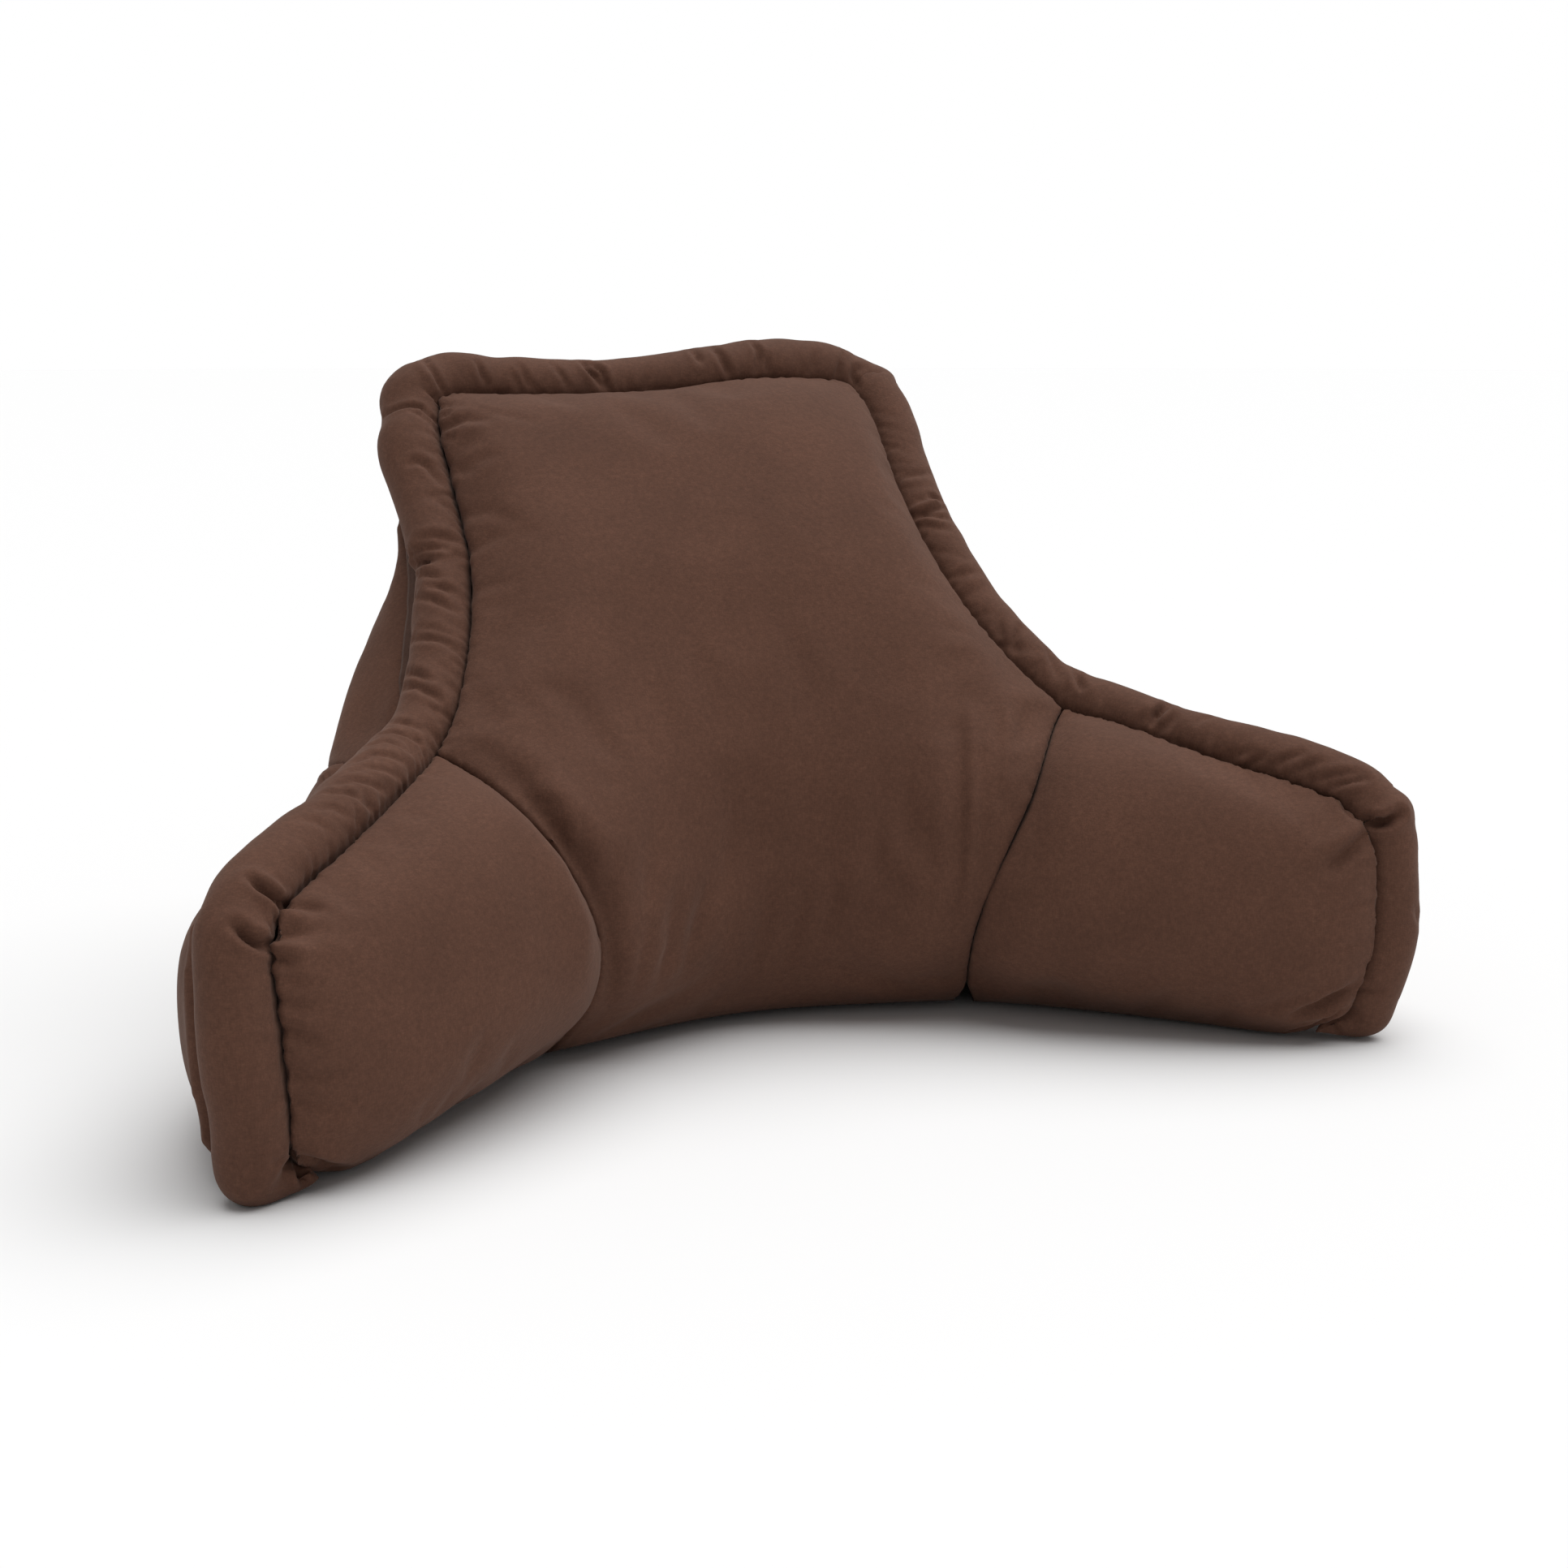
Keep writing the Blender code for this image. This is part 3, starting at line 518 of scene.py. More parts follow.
class StudioSettings(bpy.types.PropertyGroup):
    """The lights and the camera."""

    azimuth: bpy.props.FloatProperty(
        name="Azimuth",
        description="Where the camera stands, from the front towards the right",
        subtype="ANGLE",
        unit="ROTATION",
        default=math.radians(-24.083),
    )
    elevation: bpy.props.FloatProperty(
        name="Elevation",
        description="How far the camera looks down",
        subtype="ANGLE",
        unit="ROTATION",
        default=math.radians(11.004),
    )
    distance: bpy.props.FloatProperty(
        name="Distance",
        description="From the camera to the point that it looks at",
        subtype="DISTANCE",
        unit="LENGTH",
        default=1.71,
    )
    target: bpy.props.FloatVectorProperty(
        name="Target",
        description="The point that the camera looks at",
        subtype="TRANSLATION",
        unit="LENGTH",
        size=3,
        default=(0.0, -0.0805, 0.201),
    )
    lens: bpy.props.FloatProperty(
        name="Lens",
        description="Focal length of the camera, in millimetres",
        min=10.0,
        max=200.0,
        default=53.91,
    )
    overhead: bpy.props.FloatProperty(
        name="Overhead light",
        description="Strength of the wide light overhead",
        min=0.0,
        max=20.0,
        default=2.85,
    )
    ambient: bpy.props.FloatProperty(
        name="Ambient light",
        description="Strength of the even light from all round",
        min=0.0,
        max=10.0,
        default=0.32,
    )


# Places and directions.


def camera_place():
    studio = bpy.context.scene.studio_settings
    away = Vector((math.sin(studio.azimuth), -math.cos(studio.azimuth), 0.0))
    away *= math.cos(studio.elevation)
    away.z = math.sin(studio.elevation)
    return Vector(studio.target) + away * studio.distance


def picture_axes():
    """The directions into the picture, to its right and up it."""
    into = (Vector(bpy.context.scene.studio_settings.target) - camera_place()).normalized()
    right = into.cross(Vector((0, 0, 1))).normalized()
    return into, right, right.cross(into)


def picture_ray(x, y):
    """The direction from the camera through a place in the picture."""
    into, right, up = picture_axes()
    reach = SENSOR / bpy.context.scene.studio_settings.lens
    across = (x / PICTURE_SIDE - 0.5) * reach
    upwards = (0.5 - y / PICTURE_SIDE) * reach
    return (into + right * across + up * upwards).normalized()


def picture_place(points):
    """Where in the picture each of these points is seen."""
    into, right, up = (np.array(axis) for axis in picture_axes())
    away = points - np.array(camera_place())
    scale = PICTURE_SIDE * bpy.context.scene.studio_settings.lens / SENSOR / (away @ into)
    middle = PICTURE_SIDE / 2
    return np.stack([middle + (away @ right) * scale, middle - (away @ up) * scale], axis=1)


def pixel_size(place):
    """The length that one pixel of the picture covers at a place."""
    into = np.array(picture_axes()[0])
    depth = float((np.array(place) - np.array(camera_place())) @ into)
    return depth * SENSOR / bpy.context.scene.studio_settings.lens / PICTURE_SIDE


def picture_trail(tree, places, step=4.0):
    """The points on a surface that a line through these places in the picture passes over."""
    places = np.array(places, float)
    lengths = np.linalg.norm(np.diff(places, axis=0), axis=1)
    along = np.concatenate([[0.0], np.cumsum(lengths)])
    found = []
    for length in np.linspace(0, along[-1], int(along[-1] / step) + 2):
        x = float(np.interp(length, along, places[:, 0]))
        y = float(np.interp(length, along, places[:, 1]))
        place = tree.ray_cast(camera_place(), picture_ray(x, y))[0]
        if place is not None:
            found.append(place)
    return np.array(found)


def nearest(points, line):
    """For each point, the number of the nearest point of a line, and how far off it is."""
    tree = KDTree(len(line))
    for number, point in enumerate(line):
        tree.insert(point, number)
    tree.balance()
    found = [tree.find(point)[1:] for point in points]
    return np.array([f[0] for f in found]), np.array([f[1] for f in found])


def drift(places, spacing, seed):
    """Smooth chance values between -1 and 1 along a line, changing over about spacing."""
    values = np.random.default_rng(seed).uniform(-1, 1, DRIFT_VALUES)
    at = np.asarray(places) / spacing + DRIFT_START
    whole = np.floor(at).astype(int)
    part = at - whole
    part = part * part * (3 - 2 * part)
    after = values[(whole + 1) % DRIFT_VALUES]
    return values[whole % DRIFT_VALUES] * (1 - part) + after * part


# Meshes.


def welded(node):
    """A node's mesh with its faces joined up."""
    mesh = bmesh.new()
    mesh.from_mesh(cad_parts[node].data)
    bmesh.ops.remove_doubles(mesh, verts=mesh.verts, dist=WELD)
    return mesh


def new_piece(name, mesh):
    data = bpy.data.meshes.new(name)
    mesh.to_mesh(data)
    mesh.free()
    thing = bpy.data.objects.new(name, data)
    bpy.context.scene.collection.objects.link(thing)
    return thing


def applied(thing, kind, **values):
    """Adds a modifier to a piece and bakes it into the mesh."""
    modifier = thing.modifiers.new(kind.lower(), kind)
    for name, value in values.items():
        setattr(modifier, name, value)
    graph = bpy.context.evaluated_depsgraph_get()
    made = bpy.data.meshes.new_from_object(thing.evaluated_get(graph))
    thing.modifiers.clear()
    old = thing.data
    thing.data = made
    bpy.data.meshes.remove(old)
    made.name = thing.name


class Skin:
    """The points and normals of a piece's mesh, changed together and written back once."""

    def __init__(self, thing):
        self.mesh = thing.data
        count = len(self.mesh.vertices)
        self.points = np.empty(count * 3, np.float32)
        self.mesh.vertices.foreach_get("co", self.points)
        self.points = self.points.reshape(-1, 3).astype(float)
        self.normals = np.empty(count * 3, np.float32)
        self.mesh.vertex_normals.foreach_get("vector", self.normals)
        self.normals = self.normals.reshape(-1, 3).astype(float)

    def push(self, heights):
        self.points += self.normals * heights[:, None]

    def write(self):
        self.points[:, 2] = np.maximum(self.points[:, 2], 0.0)
        self.mesh.vertices.foreach_set("co", self.points.astype(np.float32).ravel())
        self.mesh.update()


def blurred(mesh, values, repeats):
    """Values at the points of a mesh, evened out between neighbours."""
    ends = np.empty(len(mesh.edges) * 2, np.int32)
    mesh.edges.foreach_get("vertices", ends)
    one, other = ends.reshape(-1, 2).T
    count = len(values)
    shares = np.bincount(one, minlength=count) + np.bincount(other, minlength=count)
    for _ in range(repeats):
        evened = np.empty_like(values)
        for k in range(values.shape[1]):
            column = values[:, k]
            evened[:, k] = np.bincount(one, column[other], count)
            evened[:, k] += np.bincount(other, column[one], count)
        values = (1 - EVENING) * values + EVENING * evened / shares[:, None]
    return values


def capped(moves, most):
    """Moves with none longer than the most allowed."""
    lengths = np.linalg.norm(moves, axis=1, keepdims=True)
    return moves * np.minimum(1.0, most / np.maximum(lengths, 1e-9))


def point_group(thing, name, shares):
    """A group of points with the given shares, in even steps."""
    group = thing.vertex_groups.new(name=name)
    levels = np.round(shares * GROUP_LEVELS) / GROUP_LEVELS
    for level in np.unique(levels[levels > 0]):
        group.add(np.flatnonzero(levels == level).tolist(), float(level), "REPLACE")
    return group.name


def crinkled(thing, held, ease, slack):
    """Lets the cover of a piece swell over its filling and crinkle, as loosely cut cloth does.

    held says how firmly each point is sewn. ease is how much too wide the cloth is cut, or the
    places that its points have before it is sewn on.
    """
    scene = bpy.context.scene
    sewn = point_group(thing, "sewn", held)
    modifier = thing.modifiers.new("cloth", "CLOTH")
    cloth = modifier.settings
    for name, value in CLOTH.items():
        setattr(cloth, name, value)
    cloth.bending_stiffness = slack.stiffness
    cloth.uniform_pressure_force = slack.pressure
    cloth.vertex_group_mass = sewn
    if isinstance(ease, float):
        cloth.shrink_min = -ease
    else:
        thing.shape_key_add(name="sewn")
        unsewn = thing.shape_key_add(name="unsewn", from_mix=False)
        unsewn.data.foreach_set("co", ease.astype(np.float32).ravel())
        cloth.rest_shape_key = unsewn
    cloth.effector_weights.gravity = 0
    modifier.collision_settings.use_collision = False
    modifier.collision_settings.use_self_collision = False
    modifier.point_cache.frame_start = 1
    modifier.point_cache.frame_end = SIMULATED_FRAMES
    for number in range(1, SIMULATED_FRAMES + 1):
        scene.frame_set(number)
    settled = thing.evaluated_get(bpy.context.evaluated_depsgraph_get())
    count = len(thing.data.vertices)
    after = np.empty(count * 3, np.float32)
    settled.data.vertices.foreach_get("co", after)
    before = np.empty(count * 3, np.float32)
    thing.data.vertices.foreach_get("co", before)
    before = before.reshape(-1, 3).astype(float)
    moves = after.reshape(-1, 3).astype(float) - before
    thing.modifiers.clear()
    thing.vertex_groups.clear()
    thing.shape_key_clear()
    scene.frame_set(1)
    moves = capped(moves, slack.swell + 4 * slack.wrinkle)
    broad = blurred(thing.data, moves, slack.evenings)
    moves = capped(broad, slack.swell) + capped(moves - broad, slack.wrinkle)
    thing.data.vertices.foreach_set("co", (before + moves).astype(np.float32).ravel())
    thing.data.update()


def finish_piece(thing, nodes, material):
    thing.data.materials.clear()
    thing.data.materials.append(material)
    thing.data.shade_smooth()
    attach(thing, BODY)
    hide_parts(*nodes)


# The brushed cloth's material.


def add(tree, kind, **inputs):
    """A new node, its named inputs set to values or linked from other nodes' sockets."""
    node = tree.nodes.new(kind)
    for name, value in inputs.items():
        socket = node.inputs[name.replace("_", " ")]
        if isinstance(value, bpy.types.NodeSocket):
            tree.links.new(value, socket)
        else:
            socket.default_value = value
    return node


def scaled(tree, socket, factors):
    """A vector with each of its parts multiplied."""
    node = tree.nodes.new("ShaderNodeVectorMath")
    node.operation = "MULTIPLY"
    tree.links.new(socket, node.inputs[0])
    node.inputs[1].default_value = factors
    return node.outputs[0]


def combined(tree, operation, first, second):
    node = tree.nodes.new("ShaderNodeMath")
    node.operation = operation
    for socket, value in zip(node.inputs, (first, second)):
        if isinstance(value, bpy.types.NodeSocket):
            tree.links.new(value, socket)
        else:
            socket.default_value = value
    return node.outputs[0]


def brushed_cloth(name, colour):
    """Closely woven cloth with a short brushed nap, a little mottled."""
    cloth = bpy.context.scene.cloth_settings
    material = bpy.data.materials.new(name)
    material.use_nodes = True
    tree = material.node_tree
    shader = tree.nodes["Principled BSDF"]
    place = tree.nodes.new("ShaderNodeTexCoord").outputs["Object"]
    grain = 1 / cloth.nap_size

    nap = add(tree, "ShaderNodeTexNoise", Vector=place, Scale=grain, Detail=3.0)
    across = add(
        tree,
        "ShaderNodeTexNoise",
        Vector=scaled(tree, place, (0.25, 0.25, 1.0)),
        Scale=grain * 1.3,
        Detail=2.0,
    )
    upright = add(
        tree,
        "ShaderNodeTexNoise",
        Vector=scaled(tree, place, (1.0, 1.0, 0.22)),
        Scale=grain * 1.2,
        Detail=2.0,
    )
    clouds = add(tree, "ShaderNodeTexNoise", Vector=place, Scale=16.0, Detail=4.0)
    specks = add(tree, "ShaderNodeTexNoise", Vector=place, Scale=240.0, Detail=4.0)

    weave = combined(tree, "ADD", across.outputs["Fac"], upright.outputs["Fac"])
    relief = combined(tree, "ADD", weave, nap.outputs["Fac"])
    tone = combined(tree, "MULTIPLY", relief, 0.30)
    tone = combined(tree, "ADD", tone, combined(tree, "MULTIPLY", clouds.outputs["Fac"], 0.30))
    tone = combined(tree, "ADD", tone, combined(tree, "MULTIPLY", specks.outputs["Fac"], 0.35))

    ramp = tree.nodes.new("ShaderNodeValToRGB")
    tree.links.new(tone, ramp.inputs["Fac"])
    shades = ((0.52, 0.72), (0.78, 1.0), (1.0, 1.34))
    ramp.color_ramp.elements.new(0.5)
    for element, (position, share) in zip(ramp.color_ramp.elements, shades):
        element.position = position
        element.color = (*[min(part * share, 1.0) for part in colour], 1.0)
    tree.links.new(ramp.outputs["Color"], shader.inputs["Base Color"])

    rough = combined(tree, "MULTIPLY", nap.outputs["Fac"], 0.12)
    rough = combined(tree, "ADD", rough, cloth.roughness - 0.06)
    tree.links.new(rough, shader.inputs["Roughness"])
    bump = add(tree, "ShaderNodeBump", Height=relief, Strength=0.16, Distance=0.0007)
    soft = add(
        tree,
        "ShaderNodeBump",
        Height=specks.outputs["Fac"],
        Strength=0.12,
        Distance=0.0022,
        Normal=bump.outputs["Normal"],
    )
    tree.links.new(soft.outputs["Normal"], shader.inputs["Normal"])
    shader.inputs["Metallic"].default_value = 0.0
    shader.inputs["Specular IOR Level"].default_value = 0.16
    shader.inputs["Sheen Weight"].default_value = cloth.sheen
    shader.inputs["Sheen Roughness"].default_value = 0.42
    shader.inputs["Sheen Tint"].default_value = (0.92, 0.74, 0.64, 1.0)
    return material


# The roll.


def ring_centres(node, near):
    """The centre and radius of each ring of a roll's solid, from its end that is near a place."""
    mesh = welded(node)
    rims = {}
    for edge in mesh.edges:
        if edge.calc_face_angle(0.0) > CAP_ANGLE:
            for vertex in edge.verts:
                rims.setdefault(vertex, set()).update(edge.verts)
    ring = {next(iter(rims))}
    while True:
        grown = set().union(*(rims[vertex] for vertex in ring))
        if grown == ring:
            break
        ring = grown
    seen = set(ring)
    found = []
    mesh.verts.index_update()
    while ring:
        ordered = sorted(ring, key=lambda vertex: vertex.index)
        points = np.array([vertex.co for vertex in ordered])
        centre = points.mean(axis=0)
        found.append((centre, np.linalg.norm(points - centre, axis=1).mean()))
        following = {edge.other_vert(vertex) for vertex in ring for edge in vertex.link_edges}
        ring = following - seen
        seen |= ring
    mesh.free()
    first, last = (np.linalg.norm(found[k][0] - near) for k in (0, -1))
    return found if first < last else found[::-1]


def smoothed(values, spacing, reach):
    """Values along a line, blurred over reach, with both ends held."""
    half = max(int(3 * reach / spacing), 1)
    weights = np.exp(-0.5 * (np.arange(-half, half + 1) * spacing / reach) ** 2)
    weights /= weights.sum()
    columns = values.reshape(len(values), -1)
    before = 2 * columns[0] - columns[1 : half + 1][::-1]
    after = 2 * columns[-1] - columns[-half - 1 : -1][::-1]
    longer = np.vstack([before, columns, after])
    found = np.stack([np.convolve(c, weights, mode="valid") for c in longer.T], axis=1)
    return found.reshape(values.shape)


def unit(ways):
    return ways / np.linalg.norm(ways, axis=-1, keepdims=True)


def toe(above, down, inward, radius):
    """The middle line and radii where the roll turns in on the floor, from an arm's end on.

    above is where the line comes from, down its way there, and inward the way to the arm.
    """
    turns = np.linspace(0, math.pi / 2, TOE_TURNS)[1:]
    low = radius + TOE_BEND - TOE_SINK
    start = above + down * max((above[2] - low) / max(-down[2], 0.5), 0.0)
    path = [
        start + down * TOE_BEND * math.sin(t) + inward * TOE_BEND * (1 - math.cos(t))
        for t in turns
    ]
    straight = np.linspace(0, TOE_LENGTH - TOE_BEND, TOE_TURNS - 1)[1:]
    path += [path[-1] + inward * length for length in straight]
    path = np.array(path)
    shares = np.linspace(0, 1, len(path)) ** TOE_TAPER
    radii = radius + (TOE_RADIUS - radius) * shares
    path[:, 2] = np.maximum(path[:, 2], 0.0) * (1 - shares) + radii * shares
    path[:, 2] += TOE_LIFT * shares**2
    return path, radii


class RollLine:
    """The middle line of the roll from the left foot to the right one, its radius, and the
    directions across it."""

    def __init__(self):
        lobes = lobe_tree()
        near = np.array(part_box(ROLL_NODES[0])[0])
        rings, ends = [], []
        for node in ROLL_NODES:
            found = ring_centres(node, near)
            near = found[-1][0]
            rings += found
            ends.append(near)
        centres = np.array([centre for centre, _ in rings])
        radii = np.array([radius for _, radius in rings])
        centres, radii = self.with_toes(centres, radii, lobes)
        lengths = np.linalg.norm(np.diff(centres, axis=0), axis=1)
        own = np.concatenate([[0.0], np.cumsum(lengths)])
        count = int(own[-1] / ROLL_SPACING)
        self.length = np.linspace(0, own[-1], count + 1)
        spacing = self.length[1]
        line = np.stack([np.interp(self.length, own, centres[:, k]) for k in range(3)], axis=1)
        self.radii = smoothed(np.interp(self.length, own, radii), spacing, LINE_SMOOTHING)
        self.centres = smoothed(line, spacing, LINE_SMOOTHING)
        self.tangents = unit(smoothed(np.gradient(line, axis=0), spacing, TURN_SMOOTHING))
        self.outward = np.full_like(self.centres, np.nan)
        self.seam_angle = np.full(len(self.centres), np.nan)
        tips = TOE_LENGTH + TOE_MARGIN
        for number in range(len(self.centres)):
            if tips < self.length[number] < self.length[-1] - tips:
                self.contact(number, lobes)
        self.carry_over(spacing)
        self.front = unit(np.cross(self.tangents, self.outward))
        self.mitres = [self.length[self.closest(end)] for end in ends[1:-2]]
        self.shift, self.wider = self.shifts()

    def with_toes(self, centres, radii, lobes):
        """The line with a toe added at each foot."""
        for _ in range(2):
            inner = Vector((centres[0][0], centres[0][1], FOOT_HEIGHT))
            target = lobes.find_nearest(inner)[0]
            inward = unit(np.array([target.x - inner.x, target.y - inner.y, 0.0]))
            first = int(np.argmax(centres[:, 2] > radii[0] + TOE_BEND - TOE_SINK))
            down = unit(centres[first] - centres[first + 3])
            path, sizes = toe(centres[first], down, inward, radii[first])
            centres = np.vstack([path[::-1], centres[first:]])[::-1]
            radii = np.concatenate([sizes[::-1], radii[first:]])[::-1]
        return centres, radii

    def closest(self, place):
        return int(np.argmin(np.linalg.norm(self.centres - np.array(place), axis=1)))

    def contact(self, number, lobes):
        """The direction away from the lobes at a ring, and the angle from it to their edge."""
        tangent = Vector(self.tangents[number])
        side = tangent.orthogonal().normalized()
        other = tangent.cross(side)
        hits = []
        for ray in range(CONTACT_RAYS):
            turn = 2 * math.pi * ray / CONTACT_RAYS
            way = side * math.cos(turn) + other * math.sin(turn)
            reach = self.radii[number] + CONTACT_REACH
            if lobes.ray_cast(Vector(self.centres[number]), way, reach)[0] is not None:
                hits.append(way)
        if hits:
            inward = sum(hits, Vector()).normalized()
            self.outward[number] = -np.array(inward)
            self.seam_angle[number] = math.pi - max(inward.angle(way) for way in hits)

    def carry_over(self, spacing):
        """Fills in the directions where no lobe is met, turned along with the line."""
        known = np.flatnonzero(~np.isnan(self.seam_angle))
        self.seam_angle = np.interp(self.length, self.length[known], self.seam_angle[known])
        for k in range(3):
            inner = self.outward[known, k]
            self.outward[:, k] = np.interp(self.length, self.length[known], inner)
        for numbers in (range(known[0] - 1, -1, -1), range(known[-1] + 1, len(self.length))):
            before = numbers[0] + (1 if numbers.step < 0 else -1)
            for number in numbers:
                turn = Vector(self.tangents[before]).rotation_difference(
                    Vector(self.tangents[number])
                )
                self.outward[number] = turn @ Vector(self.outward[before])
                before = number
        self.outward = smoothed(self.outward, spacing, WAY_SMOOTHING)
        self.seam_angle = smoothed(self.seam_angle, spacing, SEAM_SMOOTHING)
        along = np.sum(self.outward * self.tangents, axis=1)
        self.outward = unit(self.outward - self.tangents * along[:, None])

    def shifts(self):
        """How far the covers shift at each ring, and how much further out the roll lies."""
        _, right, up = (np.array(axis) for axis in picture_axes())
        places = sorted((self.at_picture(s.x, s.y), s) for s in SHIFTS)
        moves = []
        for length, plan in places:
            size = pixel_size(self.centres[np.argmin(np.abs(self.length - length))])
            moves.append([*((right * plan.across - up * plan.down) * size), plan.wider * size])
        own = [length for length, _ in places]
        found = np.stack([np.interp(self.length, own, column) for column in zip(*moves)], axis=1)
        found = smoothed(found, self.length[1], LINE_SMOOTHING)
        return found[:, :3], found[:, 3]

    def unrolled(self):
        """The cover's points laid straight, as long as its cloth is cut."""
        ease = roll_ease(self)
        length = np.cumsum(np.gradient(self.length) * (1 + ease))[:, None]
        turns = self.columns()
        radius = self.radii[:, None] * (1 + 0.5 * ease[:, None])
        points = np.stack(
            [length + 0 * turns, radius * np.cos(turns), radius * np.sin(turns)], axis=2
        )
        tips = [[length[0, 0], 0.0, 0.0], [length[-1, 0], 0.0, 0.0]]
        return np.vstack([points.reshape(-1, 3), tips])

    def seam(self):
        """The points of the sewn seam along the front of the roll."""
        turn = self.seam_angle[:, None]
        ways = self.outward * np.cos(turn) + self.front * np.sin(turn)
        return self.centres + ways * self.radii[:, None]

    def at_picture(self, x, y):
        """The length along the roll where it passes a place in the picture."""
        seen = picture_place(self.centres + self.front * self.radii[:, None] * SEEN_HEIGHT)
        return self.length[np.argmin(np.hypot(seen[:, 0] - x, seen[:, 1] - y))]

    def columns(self):
        """The angles of a ring's points from the outward way, the same share round each ring."""
        seen = np.linspace(-1, 1, SEEN_COLUMNS + 1)[None, :] * self.seam_angle[:, None]
        rest = np.linspace(0, 1, HIDDEN_COLUMNS + 1)[None, 1:-1]
        hidden = self.seam_angle[:, None] + rest * 2 * (math.pi - self.seam_angle[:, None])
        return np.concatenate([seen, hidden], axis=1)


@functools.lru_cache(maxsize=1)
def roll_line():
    """The roll's line, worked out once for all the pieces that need it."""
    return RollLine()


def lobe_tree(names=LOBES):
    """A search tree over the solids of the named lobes."""
    points, faces = [], []
    for name in names:
        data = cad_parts[name].data
        start = len(points)
        points += [vertex.co.copy() for vertex in data.vertices]
        faces += [[start + corner for corner in face.vertices] for face in data.polygons]
    return BVHTree.FromPolygons(points, faces)


def mesh_tree(data):
    """A search tree over a mesh."""
    points = [vertex.co.copy() for vertex in data.vertices]
    return BVHTree.FromPolygons(points, [list(face.vertices) for face in data.polygons])


def crease(offset, width):
    """A sharp valley with a low swell beside it."""
    valley = np.exp(-np.abs(offset / width) ** 1.5)
    swell = np.exp(-(((offset - 1.9 * width) / (1.1 * width)) ** 2))
    swell += np.exp(-(((offset + 1.9 * width) / (1.1 * width)) ** 2))
    return valley - 0.28 * swell


def roll_ease(line):
    """How much too long the cloth is cut along the roll."""
    places = sorted((line.at_picture(x, y), ease) for x, y, ease in EASES)
    return np.interp(line.length, [p for p, _ in places], [e for _, e in places])


def roll_relief(line, turns, seed):
    """How far each point of the roll's cover lies outside its plain round form."""
    shape = bpy.context.scene.shape_settings
    length = line.length[:, None]
    radius = line.radii[:, None]
    seam = line.seam_angle[:, None]
    ease = roll_ease(line)
    chance = np.random.default_rng(seed)
    around = np.where(turns > math.pi, turns - 2 * math.pi, turns)
    from_front = np.maximum(seam - around, 0.0)
    from_rear = np.maximum(around + seam, 0.0)
    lumps = drift(length + around * 0.012, 0.036, seed) * 0.5 * (1 + np.cos(around))
    lumps = lumps + 0.5 * drift(length - around * 0.02, 0.017, seed + 1)
    relief = shape.lump_height * lumps
    for place, away in ((0.0, from_front), (0.004, from_rear)):
        while place < line.length[-1]:
            loose = (float(np.interp(place, line.length, ease)) / MOST_EASE) ** 0.6
            depth = shape.gather_depth * loose * chance.uniform(0.25, 1.15) ** 1.3
            width = chance.uniform(0.0018, 0.0036)
            slant = chance.normal(0.12, 0.35) * radius
            reach = chance.uniform(0.35, 1.25)
            offset = length - place - slant * away
            fade = np.exp(-((away / reach) ** 2))
            relief = relief - depth * fade * crease(offset, width * (1 + away))
            place += chance.uniform(0.005, 0.013)
    return relief


def roll_cover(line, seed):
    """The gathered cover of the whole roll, closed at both tips."""
    turns = line.columns()
    around = np.where(turns > math.pi, turns - 2 * math.pi, turns)
    relief = roll_relief(line, turns, seed)
    seam = line.seam_angle[:, None]
    hidden = 1 / (1 + np.exp(-(np.abs(around) - seam - HIDDEN_FADE) / HIDDEN_FADE))
    relief += line.wider[:, None] * np.clip(1 - (around / seam) ** 4, 0.0, 1.0)
    relief -= SEAM_DEPTH * np.exp(-(((np.abs(around) - seam) / GROOVE_TURN) ** 2))
    relief = relief * (1 - hidden) + HIDDEN_PROUD * hidden
    tip = np.minimum(line.length, line.length[-1] - line.length)[:, None]
    reach = (line.radii[:, None] + relief) * np.sqrt(np.clip(tip / TIP_ROUNDING, 0.02, 1.0))
    ways = line.outward[:, None, :] * np.cos(turns)[..., None]
    ways = ways + line.front[:, None, :] * np.sin(turns)[..., None]
    points = line.centres[:, None, :] + ways * reach[..., None]
    points[..., 2] = np.maximum(points[..., 2], LEAST_HEIGHT)

    mesh = bmesh.new()
    columns = turns.shape[1]
    rings = [[mesh.verts.new(point) for point in ring] for ring in points]
    for one, other in zip(rings, rings[1:]):
        for k in range(columns):
            after = (k + 1) % columns
            mesh.faces.new([one[k], one[after], other[after], other[k]])
    for ring, centre in ((rings[0], line.centres[0]), (rings[-1], line.centres[-1])):
        middle = mesh.verts.new(centre)
        for k in range(columns):
            mesh.faces.new([middle, ring[k], ring[(k + 1) % columns]])
    bmesh.ops.recalc_face_normals(mesh, faces=mesh.faces)
    return new_piece("roll_cover", mesh)


def roll_held(cover, line):
    """How firmly each point of the roll's cover is held: by its seams, and where it is hidden."""
    turns = line.columns()
    around = np.where(turns > math.pi, turns - 2 * math.pi, turns)
    past = np.abs(around) - line.seam_angle[:, None]
    held = np.clip(1 + past / HELD_TURN, 0.0, 1.0)
    for mitre in line.mitres:
        away = np.abs(line.length[:, None] - mitre)
        held = np.maximum(held, np.clip(1 - away / MITRE_WIDTH, 0, MITRE_HOLD))
    return np.concatenate([held.ravel(), np.ones(len(cover.data.vertices) - held.size)])


